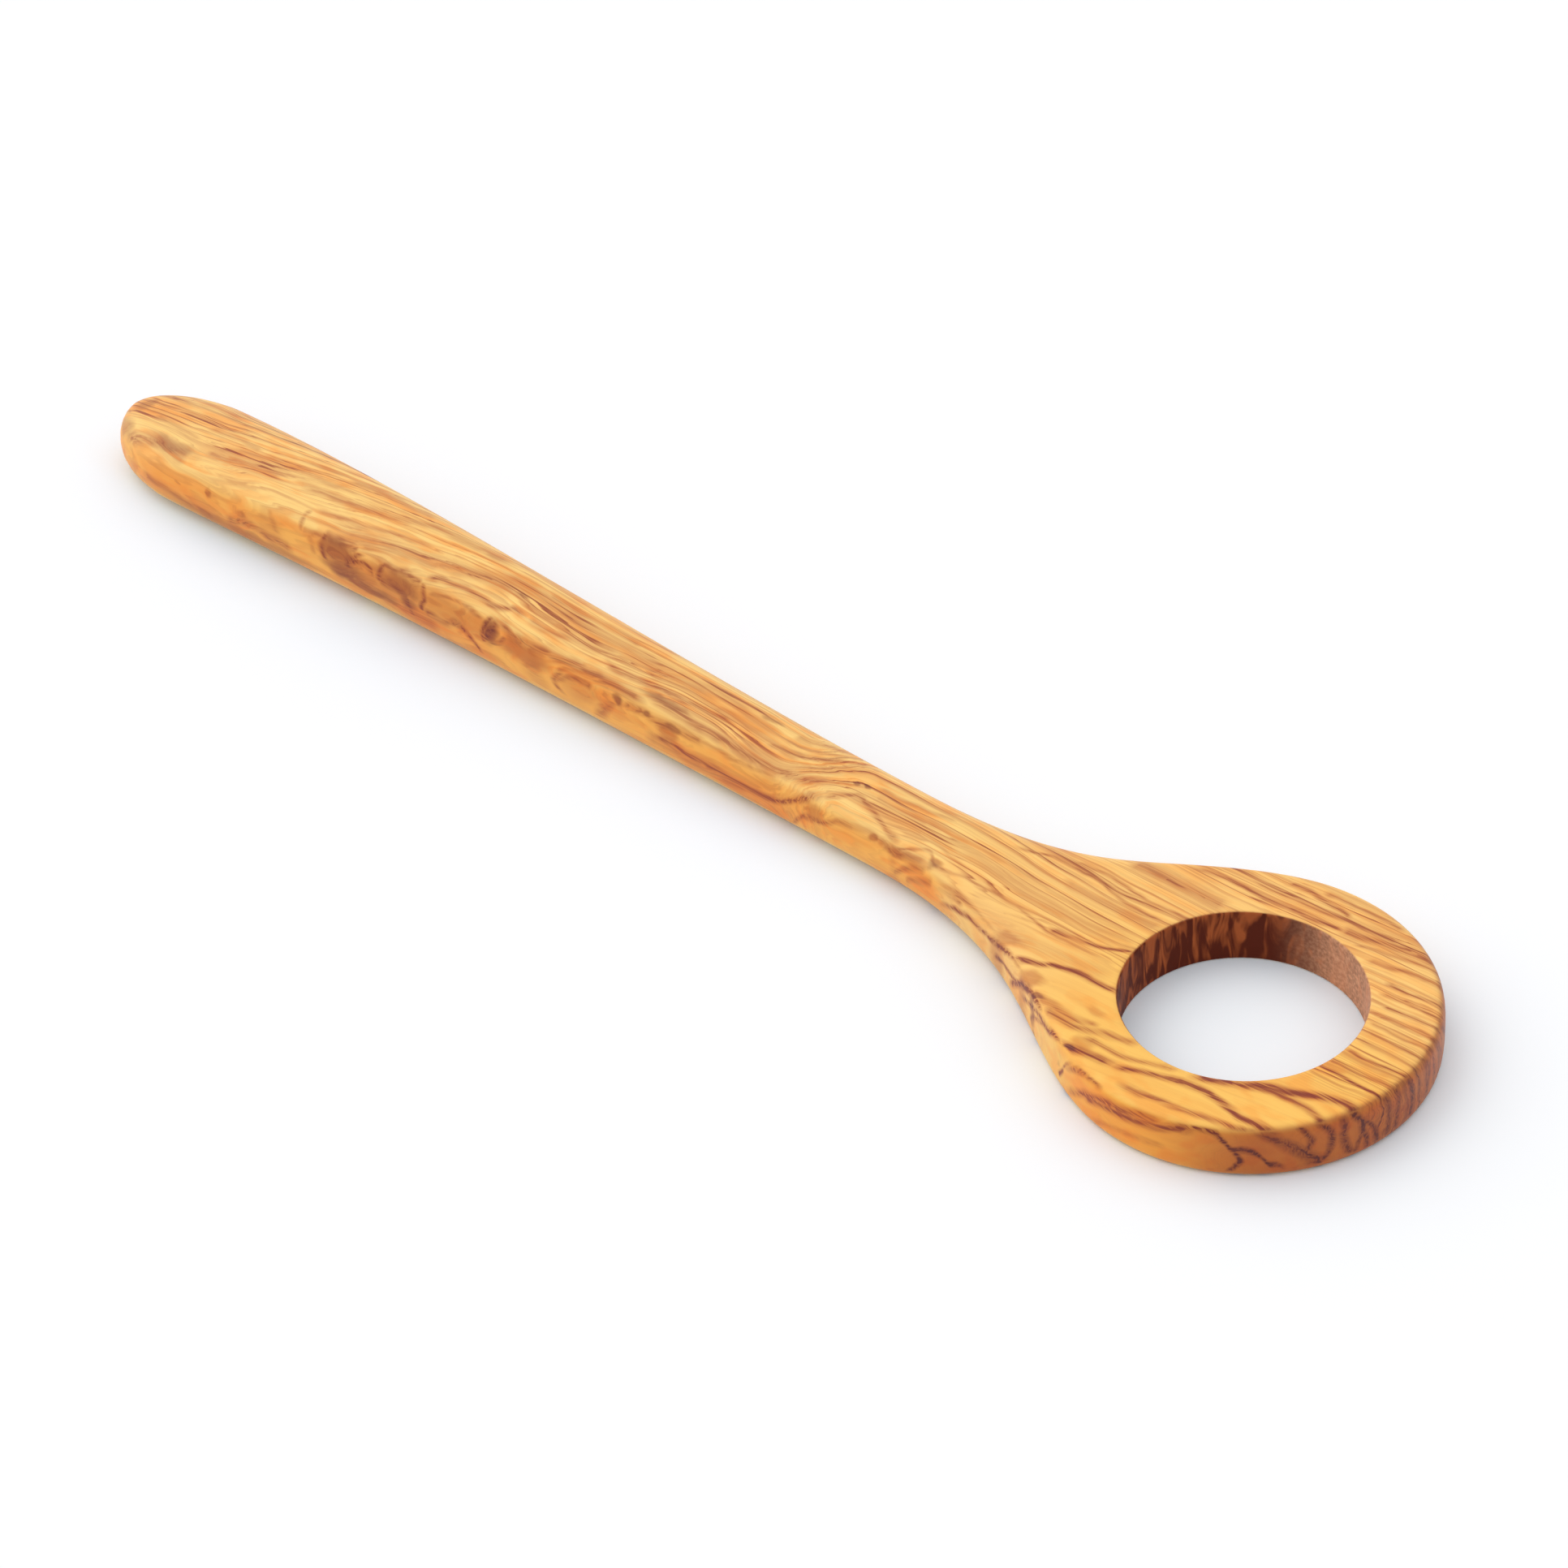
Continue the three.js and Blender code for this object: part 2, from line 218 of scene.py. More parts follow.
PLAN_VEINS = (                     # points are (x, y)
    (0.6, 0.45, ((38, -4.8), (43, -4.6), (48, -4.4), (52, -3.9), (56, -4.3), (62, -5.6))),
    (0.6, 0.65, ((42, -5.6), (45, -7.3), (47, -7.5), (50, -6.3), (52.5, -5.7), (55, -7.2), (58, -7.1),
                 (64, -6.7), (71, -6.7), (80, -8.1), (87, -8.2), (96, -7.4))),
    (0.98, 0.90, ((80, -7.5), (85, -7), (89, -6.2), (92, -5.2), (96, -2.8))),
    (2.93, 0.30, ((62, -11), (68, -11), (74, -11.8), (80, -12.5), (86, -11.8), (98, -10.5))),
    (1.14, 1.00, ((73, -15.5), (76, -16.3), (80, -16.6), (84, -15.8), (87, -14.6), (90, -13.7),
                  (94, -13.2), (101, -12.8))),
    (1.3, 0.68, ((86, -21), (89, -21.7), (93, -22), (97, -22.3), (103, -21.6))),
    (1.46, 0.75, ((92, -23), (97, -23.8), (101, -23.4), (105, -22), (111, -20.6))),
    (1.46, 1.00, ((77, -18), (81, -19.8), (86, -22.3), (91, -24.8), (96, -27.5), (101, -28.5),
                  (106, -27.6), (112, -27))),
    (1.3, 1.00, ((109, -27.4), (112, -26.9), (115, -25.6), (118, -24.3), (122, -23.2), (126, -22.6),
                 (130, -23), (134, -23.6), (138, -23.5), (143, -22.8))),
    (0.98, 0.68, ((102, -24.6), (107, -24.6), (112, -24.2), (116, -22.5), (120, -21.3))),
    (1.62, 1.00, ((121, -21.2), (125, -19.8), (128, -18.3), (131, -16.7), (134, -15.2), (137, -14),
                  (140, -12.5), (143, -11.1), (146, -10.4), (150, -10.8))),
    (1.14, 0.83, ((130, -17.5), (134, -16), (137, -15.4), (140, -15.2), (143, -15.6), (146, -16.6),
                  (149, -19))),
    (1.14, 0.75, ((113, -30.2), (120, -29.5), (125, -28.6), (130, -27.4), (135, -26), (141, -24.6))),
    (0.65, 0.98, ((135, -5.6), (140, -5.5), (145, -5.6), (150, -5.7))),
    (0.65, 0.53, ((135, -7.7), (140, -7.8), (144, -7.2), (149, -6.5))),
    (0.99, 0.85, ((88, 20), (93, 21), (98, 21.6), (103, 21.7), (109, 22), (115, 22.6), (121, 23.4))),
    (2.86, 0.65, ((80, 14.6), (86, 15.2), (92, 15.3), (101, 15.3))),
    (0.77, 0.78, ((87, 14.7), (92, 15), (97, 15))),
    (0.77, 0.72, ((71, 8.4), (76, 8.9), (81, 9.3), (86, 8.8), (91, 8.6), (100, 9.3))),
    (0.77, 0.72, ((62, 4.8), (66, 5.6), (70, 7), (75, 7.2), (80, 7.3), (84, 6.1), (88, 5.8), (96, 5.6))),
    (0.8, 0.45, ((45, 0.2), (55, 0.4), (65, 0.2), (75, -0.2), (85, -0.2), (96, 0.6))),
    (1.6, 0.40, ((50, -1), (58, -1.4), (66, -1.9), (75, -2.2), (84, -2.6), (91, -1.6), (96, -0.6))),
    (1.76, 0.52, ((74, 3.4), (82, 3.4), (89, 3.8), (96, 4.4))),
    (0.99, 0.85, ((104, 27), (108, 27.5), (113, 27.3), (116, 27.2), (119, 26.2))),
    (0.99, 0.65, ((110, 28.8), (116, 29.4), (122, 29.8), (128, 29.6))),
    (1.98, 0.78, ((118, 23.2), (123, 24.2), (128, 25.5), (132, 26.3), (137, 26.6))),
    (0.88, 0.65, ((98, 24), (106, 24.4), (114, 25), (122, 26), (130, 27.6))),
    (0.99, 0.72, ((126, 19.6), (131, 20.8), (136, 21.9), (142, 22.6))),
    (0.88, 0.65, ((122, 21.6), (128, 23), (134, 24.3), (141, 25))),
    (0.88, 0.78, ((132, 17), (138, 17.6), (144, 18.4), (149, 18.8))),
    (0.77, 0.72, ((133, 14.8), (139, 15.2), (145, 15.8), (150, 16.2))),
    (0.77, 0.78, ((135, 12.4), (140, 12.8), (146, 13.6), (150, 14.2))),
    (0.88, 0.78, ((136, 10), (141, 10.6), (147, 11.4), (150, 12))),
    (0.66, 0.65, ((136, 7.6), (142, 8), (150, 8.6))),
    (0.66, 0.72, ((137, 5.6), (143, 5.9), (150, 6.4))),
    (0.88, 0.59, ((137, 3.2), (143, 3.4), (150, 4))),
    (0.77, 0.85, ((137, -0.2), (142, 0.2), (150, 1.4))),
    (0.88, 0.78, ((136, -3.6), (142, -3.4), (147, -2.8), (150, -2.2))),
)
SHOULDER_VEINS = (                 # points are (x, z), on the near wall before the head
    (1.1, 0.79, ((52, 8), (55, 9.2), (58, 9), (61, 9.2), (66, 9.6), (71, 9.9), (76, 10.2))),
    (1.1, 0.65, ((54, 6.4), (56, 7), (58, 7.8), (60, 8.2), (64, 8.5))),
    (1.1, 0.86, ((56, 3.5), (58, 4.6), (60, 5.5), (62, 6.3), (65, 6.9), (70, 7.2), (75, 7.9), (77, 8.6),
                 (79, 9.4), (82, 10.1), (85, 10.6))),
    (0.96, 0.94, ((73.2, 3.8), (73.8, 4.8), (74.8, 5.4), (77, 5.6), (80, 5.8), (82, 6.4), (84, 7.6))),
    (1.51, 1.00, ((79, 3.2), (80.5, 4.6), (82.5, 6.2), (84, 7.8), (86, 8.8), (88, 9.4), (90, 10),
                  (93, 10.5))),
    (1.1, 0.94, ((84, 5.5), (86, 6), (88, 7), (89.5, 7.8), (91, 8.3), (94, 8.6), (96, 9), (98, 9.8),
                 (101, 10.4))),
    (0.96, 0.71, ((88, 3.4), (89, 5.4), (90, 6.2), (92, 7.3), (94, 8.2), (96, 8.8))),
    (1.1, 1.00, ((99.5, 3), (101, 4.5), (101.8, 6), (102.5, 7.5), (103.5, 8.6), (105, 9.2), (107, 9.8))),
)
EDGE_VEINS_ALONG = (               # points are (bearing, z)
    (1.5, 0.80, ((-118, 2.0), (-112, 3.6), (-109, 4.8), (-106, 5.8), (-103, 6.3), (-100, 7), (-98, 7.6),
                 (-94, 8), (-88, 8.6), (-82, 9), (-75, 9.3))),
    (1.6, 0.85, ((-109, 5.2), (-102, 6.2), (-97, 6.8), (-90, 7.3), (-83, 7.6), (-79, 7.9), (-75, 8.5),
                 (-71, 9.1), (-65, 9.9))),
    (1.2, 0.80, ((-118, 6.2), (-113, 8.2), (-110, 9.2), (-106, 9.8), (-98, 9.9))),
    (1.0, 1.00, ((-70, 9.8), (-66, 9.9), (-61, 9.4), (-59, 8.5), (-57.5, 7.5), (-56.5, 6.6), (-55, 6.1),
                 (-53, 6.2), (-50, 6), (-48, 5.2), (-46.8, 4.2), (-45.8, 3.3), (-43, 2.8), (-40.5, 1.6))),
    (1.1, 0.40, ((-104, 1.2), (-98, 2.4), (-92, 3.3), (-84, 3.8), (-75, 3.9))),
)
EDGE_VEINS_DOWN = (                # points are (z, bearing)
    (0.9, 1.00, ((1.2, -57), (2, -56), (3.2, -54.5), (4, -53.8), (5, -54.3), (6.6, -55.8))),
    (2.8, 0.75, ((1.2, -31), (2, -31.5), (3, -32.5), (4, -34.5), (5, -36.5), (6, -38), (7, -40),
                 (8, -42.5), (9, -45), (10.5, -48))),
    (1.0, 1.00, ((1.2, -31), (2, -31.3), (3, -32), (4, -33.6), (5, -35.4), (6.2, -37.2))),
    (1.2, 0.80, ((4.4, -35.6), (6.5, -33.5), (7.5, -33), (8.5, -34), (10.5, -37.5))),
    (1.2, 0.90, ((1.2, -30.5), (2, -30), (3.5, -28.5), (5.5, -27.5), (7, -27.2), (8.6, -28),
                 (10.5, -32.5))),
    (1.4, 0.80, ((1.2, -20.6), (2, -21), (3, -21.8), (4.5, -23), (6, -23.5), (8, -22.8), (10.5, -23.3))),
    (1.2, 1.00, ((4.6, -16.9), (6, -16.5), (7.5, -16.6), (8.5, -17.8), (10.5, -20))),
    (1.0, 0.90, ((1.2, -14.8), (2.3, -15), (4, -15.5), (5.4, -16.7))),
    (1.0, 0.90, ((1.2, -11.5), (2.3, -11.7), (3.5, -12), (5, -12.6), (6.3, -14), (8, -17))),
    (0.9, 0.75, ((1.2, -19.6), (2.5, -19), (4, -18), (5.4, -16.9))),
    (1.2, 0.80, ((1.2, -7.6), (4, -7.2), (6, -7), (8, -7.3), (10.5, -9.3))),
    (1.1, 0.75, ((1.2, -4.2), (4, -3.5), (6, -3.2), (8, -3), (10.5, -3.6))),
    (1.2, 0.90, ((1.2, 2.8), (4, 3.2), (6, 3.3), (8, 3), (10.5, 1.8))),
    (0.9, 0.60, ((3, 6.6), (5, 6.8), (7, 7), (10.5, 6.4))),
    (1.0, 0.70, ((1.2, 11.6), (3, 12), (5, 12.8), (7, 13.3), (10.5, 11.8))),
    (1.0, 0.60, ((4, 25), (6, 24), (7.5, 22.5), (10.5, 20.6))),
    (1.5, 0.75, ((1.2, 43), (2.5, 40), (4, 37), (6, 33), (8, 30), (10.5, 27.6))),
)

# Soft patches: (centre, half sizes, strength), on the same coordinates.
PATCH_CORE = 0.65                  # depth in a patch at which it has its full strength
HANDLE_DARK_AND_SHADE = (
    ((-145, 90), (2.2, 40), 0.50),
    ((-144.5, 28), (3.1, 21), 0.50),
    ((-131, 42), (8.5, 12), 0.50),
    # Partly painted shade: the dark band along the handle's underside, next to the floor.
    ((-110, -13), (28.6, 12), 0.55),
    ((-85, 25), (6.0, 17), 0.85),
    ((-84, 8), (6.5, 16), 0.80),
    ((-78, 0), (9.1, 10), 0.70),
    ((-70, 27), (6.8, 14), 0.75),
    ((-68, 8), (2.9, 13), 0.60),
    ((-48.5, 22), (2.3, 21), 0.80),
    ((-18.5, 23), (1.7, 9), 0.90),
    ((-11, 24), (2.1, 6), 0.70),
    ((-4.8, 24), (1.8, 6), 0.60),
    ((-9, 47), (7.2, 6), 0.55),
    ((9.5, 113), (2.6, 7), 0.55),
    ((31.5, 83), (1.1, 7), 0.75),
    ((34, 88), (1.0, 8), 0.75),
    ((-46.5, 85), (1.6, 4), 0.65),
)
HANDLE_RUST = (
    ((-71, 22), (15.0, 22), 0.50),
    ((-54, 22), (10.0, 20), 0.50),
    ((-126.5, 13), (1.2, 4), 0.50),
    ((-117.7, 17), (1.2, 6), 0.75),
    ((-110, 14), (2.1, 6), 0.60),
    ((-102, 15), (4.5, 16), 0.30),
    ((-78.8, 14), (4.7, 13), 0.55),
    ((-60, 22), (7.2, 20), 0.45),
    ((-40, 18), (9.1, 18), 0.75),
    ((-26, 8), (7.8, 26), 0.35),
    ((-6, 13), (2.6, 16), 0.60),
    ((28, 12), (2.6, 13), 0.60),
    ((41, 19), (2.0, 8), 0.75),
    ((48, 20), (7.8, 10), 0.45),
)
PLAN_DARK = (
    ((54.5, -7), (2.2, 1.1), 0.60),
    ((89.5, -21.8), (3.2, 0.9), 0.75),
    ((102, -28.3), (2.2, 0.8), 0.80),
)
PLAN_RUST = (
    ((100, -18.6), (3.2, 1.6), 0.35),
    ((45, -9.4), (6.0, 1.5), 0.60),
    ((76, -13.6), (5.0, 1.8), 0.60),
    ((86, -18.6), (3.4, 2.2), 0.65),
    ((103, -26), (3.0, 2.2), 0.45),
)
PLAN_PALE = (
    ((72, -9), (15.0, 4.0), 0.80),
    ((78, -5), (16.0, 1.6), 0.85),
    ((93, -17), (5.5, 3.8), 0.60),
    ((120, -26.5), (9.0, 1.8), 0.55),
    ((141, -18.5), (6.0, 2.6), 0.35),
    ((142, -8.6), (6.0, 1.6), 0.60),
)
HANDLE_PALE_AND_SHEEN = (
    # Painted highlight: this patch is the sheen along the ridge between the handle's top and near side.
    ((-30, 44), (22.0, 8), 0.60),
    ((38, 30), (14.0, 16), 0.50),
    ((31, 56), (13.0, 16), 0.45),
    ((45, 62), (12.0, 18), 0.45),
    ((43, 8), (11.0, 12), 0.45),
    ((-135, 12), (12.0, 17), 0.50),
    ((-119, 40), (10.8, 10), 0.85),
    ((-118, 20), (16.8, 12), 0.45),
    ((-105, 45), (16.8, 19), 0.60),
    ((-96, 63), (9.0, 8), 0.65),
    ((-95.5, 15), (3.6, 19), 0.65),
    ((-78.4, 33), (3.8, 8), 0.85),
    ((-71.5, 9), (3.8, 6), 0.85),
    ((-66, 22), (1.2, 12), 0.70),
    ((-62, 3), (4.8, 4), 0.60),
    ((-70, 47), (7.2, 6), 0.55),
    ((-55, 45), (8.4, 5), 0.65),
    ((-54, 22), (2.9, 11), 0.50),
    ((-46.3, 22), (1.1, 10), 0.55),
    ((-42, 48), (9.6, 7), 0.65),
    ((-33.6, 8), (1.1, 17), 0.50),
    ((-15, -2), (7.2, 17), 0.55),
    ((8, 11), (15.6, 16), 0.50),
    ((1, 36), (4.8, 10), 0.55),
    ((33, 108), (3.0, 22), 0.55),
    ((39, 37), (6.0, 7), 0.60),
    ((34, -2), (8.4, 14), 0.35),
)


def linear(code):
    """An sRGB hex colour as linear red, green and blue."""
    shares = [int(code[at:at + 2], 16) / 255 for at in (1, 3, 5)]
    return [share / 12.92 if share <= 0.04045 else ((share + 0.055) / 1.055) ** 2.4 for share in shares]


def tint(name, description, code):
    """A colour that a user may change, given as sRGB hex."""
    return bpy.props.FloatVectorProperty(
        name=name, description=description, subtype="COLOR", size=3, min=0, max=1, default=linear(code))


class WhiskSizes(bpy.types.PropertyGroup):
    """Sizes that the CAD solid doesn't hold."""
    rim_ease: bpy.props.FloatProperty(
        name="Rim ease", description="Width of the sanded ease on both rims of the hole",
        default=0.4 * MM, subtype="DISTANCE", unit="LENGTH")
    edge_round: bpy.props.FloatProperty(
        name="Edge round", description="Round-over on the outer edge of the head",
        default=1.8 * MM, subtype="DISTANCE", unit="LENGTH")


class OliveWoodLook(bpy.types.PropertyGroup):
    """Colours of the oiled olive wood."""
    # This colour also fills a painted sheen along the handle's ridge.
    pale: tint("Pale wood", "Lightest wood between the growth lines", "#FFD079")
    amber: tint("Amber wood", "Ground colour of the wood", "#FDB052")
    deep: tint("Deep amber wood", "Slow clouds in the ground", "#EE983A")
    rust: tint("Rust wood", "Reddest patches of the ground", "#C4702C")
    # This dark colour also fills a patch under the handle that is partly painted shade.
    burl_and_shade: tint("Burl", "Dark patches at the swirls", "#A8602C")
    line: tint("Growth line", "What a growth line leaves of the ground's colour", "#B0684A")
    dark: tint("Dark line", "What the strongest lines leave of that", "#C8AA94")
    # The walls' tint against the tops: partly the wood's tone, partly painted shade.
    side: tint("Side tint", "Tint of wood that is cut along its layers", "#FFE1AE")
    # Laid only on faces towards +x: end grain, and partly painted shade on the side away from the key
    # light.
    end_grain_and_shade: tint("End grain", "Tint that the oil gives to the end grain", "#A0521E")
    bored: tint("Bored wall", "Wall of the hole, darkened by the cutter's heat", "#5E281A")
    bored_light: tint("Bored streak", "Lighter streaks of the hole's wall", "#AE5E34")
    gold: tint("Gold tint", "Tint of the near half of the head, where the wood is plainer", "#FFF8CF")
    # Raised fibres, laid by facing, so partly painted light on the hole's wall towards the key.
    fuzz_and_light: tint("Bored fuzz", "Raised fibres and dust on the hole's wall", "#E6AC86")


class StageLook(bpy.types.PropertyGroup):
    """Floor and light of the studio."""
    floor: tint("Floor", "Colour of the paper that the whisk lies on", "#F0F0F0")
    contact: bpy.props.FloatProperty(
        name="Contact reach", description="How far from the whisk the floor balances the wood's warm light",
        default=30 * MM, subtype="DISTANCE", unit="LENGTH")
    key_power: bpy.props.FloatProperty(
        name="Key light", description="Strength of the soft key light", default=0.74, min=0)
    fill: bpy.props.FloatProperty(
        name="Fill light", description="Strength of the even light from all round", default=0.88, min=0)


def put(tree, kind, sockets=None, **settings):
    """Adds a node with its settings. Each socket takes a link from another node, or a value."""
    made = tree.nodes.new(kind)
    for name, value in settings.items():
        setattr(made, name, value)
    for key, value in (sockets or {}).items():
        if isinstance(value, bpy.types.NodeSocket):
            tree.links.new(value, made.inputs[key])
        else:
            made.inputs[key].default_value = value
    return made


def fresh_tree(owner):
    """The empty node tree of a new material or world."""
    owner.use_nodes = True
    owner.node_tree.nodes.clear()
    return owner.node_tree


def calc(tree, operation, *values):
    """One sum on numbers."""
    return put(tree, "ShaderNodeMath", dict(enumerate(values)), operation=operation).outputs[0]


def shift(tree, operation, *values):
    """One sum on vectors."""
    return put(tree, "ShaderNodeVectorMath", dict(enumerate(values)), operation=operation).outputs[0]


def parts(tree, vector):
    """The x, y and z of a vector."""
    return put(tree, "ShaderNodeSeparateXYZ", {0: vector}).outputs


def joined(tree, *values):
    """A vector from its x, y and z."""
    return put(tree, "ShaderNodeCombineXYZ", dict(enumerate(values))).outputs[0]


def length(tree, vector):
    """How long a vector is."""
    return put(tree, "ShaderNodeVectorMath", {0: vector}, operation="LENGTH").outputs["Value"]


def ramp(tree, value, ends, low=0.0, high=1.0, kind="SMOOTHSTEP", clamp=True):
    """Goes from low to high while a value goes from one end to the other."""
    sockets = {"Value": value, "From Min": ends[0], "From Max": ends[1], "To Min": low, "To Max": high}
    return put(tree, "ShaderNodeMapRange", sockets, interpolation_type=kind, clamp=clamp).outputs["Result"]


def straight(tree, value, ends=(0, 1), low=0.0, high=1.0, clamp=True):
    """The same along a straight line."""
    return ramp(tree, value, ends, low, high, "LINEAR", clamp)


def between(tree, share, one, other):
    """A number between two others."""
    return put(tree, "ShaderNodeMix", {0: share, 2: one, 3: other}).outputs[0]


def blend(tree, share, one, other, kind="MIX"):
    """Brings a second colour into the first. A colour is a link, or linear red, green and blue."""
    colours = [tone if isinstance(tone, bpy.types.NodeSocket) else (*tone, 1) for tone in (one, other)]
    sockets = {0: share, 6: colours[0], 7: colours[1]}
    return put(tree, "ShaderNodeMix", sockets, data_type="RGBA", blend_type=kind).outputs[2]


def noise(tree, place, size, **sockets):
    """Noise whose patches have a real size along x, y and z, in the same unit as the place."""
    spread = shift(tree, "MULTIPLY", place, [1 / measure for measure in size])
    return put(tree, "ShaderNodeTexNoise", {"Vector": spread, "Scale": 1.0, **sockets}).outputs


def about_zero(tree, colour):
    """A noise's colour as a vector that goes both ways from zero."""
    return shift(tree, "SUBTRACT", colour, (0.5, 0.5, 0.5))


def vein(tree, run, across_run, scale, breadth, strength, points):
    """One vein: a line through its points, which fades across its breadth and towards both ends."""
    course = put(tree, "ShaderNodeFloatCurve", {"Value": run})
    course.mapping.use_clip = False
    course.mapping.extend = "HORIZONTAL"
    line = course.mapping.curves[0]
    line.points[0].location = points[0]
    line.points[1].location = points[-1]
    for point in points[1:-1]:
        line.points.new(*point)
    course.mapping.update()
    off = calc(tree, "SUBTRACT", across_run, course.outputs[0])
    if scale != 1.0:
        off = calc(tree, "MULTIPLY", off, scale)
    shown = ramp(tree, calc(tree, "ABSOLUTE", off), (0, VEIN_SPREAD * breadth), strength, 0.0)
    half = (points[-1][0] - points[0][0]) / 2
    out = calc(tree, "ABSOLUTE", calc(tree, "SUBTRACT", run, points[0][0] + half))
    kept = straight(tree, out, (VEIN_TAPER * half, half), 1.0, 0.0)
    return calc(tree, "MULTIPLY", shown, kept)


def depth_inside(tree, place, centre, halves, kind):
    """How deep a place lies in an oval: 1 in its middle, 0 at its half sizes."""
    inside = put(tree, "ShaderNodeMapping", {"Vector": place, "Location": centre, "Scale": halves},
                 vector_type="TEXTURE").outputs[0]
    return put(tree, "ShaderNodeTexGradient", {"Vector": inside}, gradient_type=kind).outputs["Fac"]


def patch(tree, place, centre, halves, strength):
    """One soft patch of colour: full in its middle, gone at its half sizes."""
    depth = depth_inside(tree, place, (*centre, 0), (*halves, 1), "SPHERICAL")
    return ramp(tree, depth, (0, PATCH_CORE), 0.0, strength)


def drawn_veins(tree, veins, run, across_run, scale):
    """The strongest of some veins at each point. Cycles has little room for values that wait in a
    shader, so each vein is made to wait for the one before it: its run has that one, times 0, added."""
    most = vein(tree, run, across_run, scale, *veins[0])
    for drawn in veins[1:]:
        held = calc(tree, "MULTIPLY_ADD", most, 0.0, run)
        most = calc(tree, "MAXIMUM", most, vein(tree, held, across_run, scale, *drawn))
    return most


def drawn_patches(tree, place, spots):
    """The strongest of some patches at each point, each waiting for the one before it as the veins do."""
    most = patch(tree, place, *spots[0])
    for spot in spots[1:]:
        held = shift(tree, "MULTIPLY_ADD", most, (0, 0, 0), place)
        most = calc(tree, "MAXIMUM", most, patch(tree, held, *spot))
    return most


# A waver and a fray, shared by all lines, so that none is a clean curve and fibres show at its edges.
WAVER_SIZE = (5, 5, 5)
WAVER_REACH = (1.2, 1.2, 1.2)
FRAY_SIZE = (35, 0.7, 1)
FRAY_REACH = (0, 0.9, 0.8)
DRAWN_FRAY = (0.5, 0.5, 0.5)       # the share of the fray that drawn marks take


def wood_places(tree):
    """The coordinates that the wood's marks use, in millimetres and degrees."""
    place = put(tree, "ShaderNodeTexCoord").outputs["Object"]
    at = shift(tree, "MULTIPLY", place, (1 / MM, 1 / MM, 1 / MM))
    waver = about_zero(tree, noise(tree, at, WAVER_SIZE, Detail=1.0, Roughness=0.5)["Color"])
    waver = shift(tree, "MULTIPLY", waver, WAVER_REACH)
    fray = about_zero(tree, noise(tree, at, FRAY_SIZE, Detail=1.0)["Color"])
    fray = shift(tree, "MULTIPLY", fray, FRAY_REACH)
    drawn_at = shift(tree, "ADD", at, waver)
    drawn_at = shift(tree, "ADD", drawn_at, shift(tree, "MULTIPLY", fray, DRAWN_FRAY))
    along, across, up = parts(tree, drawn_at)
    over_axis = calc(tree, "SUBTRACT", up, AXIS_HEIGHT)
    nearer = calc(tree, "MULTIPLY", across, -1.0)
    from_head = calc(tree, "SUBTRACT", along, HEAD_X / MM)
    return SimpleNamespace(
        at=at, fray=fray, drawn_at=drawn_at, along=along, across=across, up=up,
        turn=calc(tree, "DEGREES", calc(tree, "ARCTAN2", over_axis, nearer)),
        per_turn=calc(tree, "RADIANS", length(tree, joined(tree, nearer, over_axis))),
        bearing=calc(tree, "DEGREES", calc(tree, "ARCTAN2", across, from_head)),
        per_bearing=math.radians(HEAD_RADIUS / MM))


# Where the whisk's regions begin and end, in millimetres and degrees. Level is 1 on a flat top, and
# 0 on a wall.
LEVEL_OF_WALL = (0.55, 0.9)
PAST_NECK = (54, 62)
PAST_SHOULDER = (72, 106)
ON_HEAD = (100, 106)
NEAR_BEARING = (48, 40)
NEAR_HALF = (14, -6)               # across the head
BORED_SKIN = (21.15, 21.5)         # from the hole's axis
PLAIN_HEAD = 0.5                   # how much of the handle's streaks and strokes the head keeps


def wood_zones(tree, spot):
    """How far a point belongs to each region of the whisk, from 0 to 1."""
    face_x, _, face_z = parts(tree, put(tree, "ShaderNodeNewGeometry").outputs["Normal"])
    level = calc(tree, "ABSOLUTE", face_z)
    wall = ramp(tree, level, LEVEL_OF_WALL, 1.0, 0.0)
    past_neck = ramp(tree, spot.along, PAST_NECK)
    on_head = ramp(tree, spot.along, ON_HEAD)
    before_head = calc(tree, "SUBTRACT", 1.0, on_head)
    near_side = ramp(tree, spot.bearing, NEAR_BEARING)
    near_wall = calc(tree, "MULTIPLY", calc(tree, "MULTIPLY", wall, near_side), past_neck)
    hole_x, hole_y, _ = parts(tree, shift(tree, "ADD", spot.at, (-HOLE_X / MM, 0, 0)))
    by_hole = straight(tree, length(tree, joined(tree, hole_x, hole_y)), BORED_SKIN, 1.0, 0.0)
    near_half = ramp(tree, spot.across, NEAR_HALF)
    return SimpleNamespace(
        face_x=face_x, level=level, past_neck=past_neck,
        shoulder=calc(tree, "MULTIPLY", past_neck, before_head),
        head_wall=calc(tree, "MULTIPLY", near_wall, on_head),
        shoulder_wall=calc(tree, "MULTIPLY", near_wall, before_head),
        open_top=calc(tree, "SUBTRACT", 1.0, near_wall),
        bored=calc(tree, "MULTIPLY", by_hole, wall),
        plainer=straight(tree, past_neck, low=1.0, high=PLAIN_HEAD),
        gold=calc(tree, "MULTIPLY", near_half, ramp(tree, spot.along, PAST_SHOULDER)))


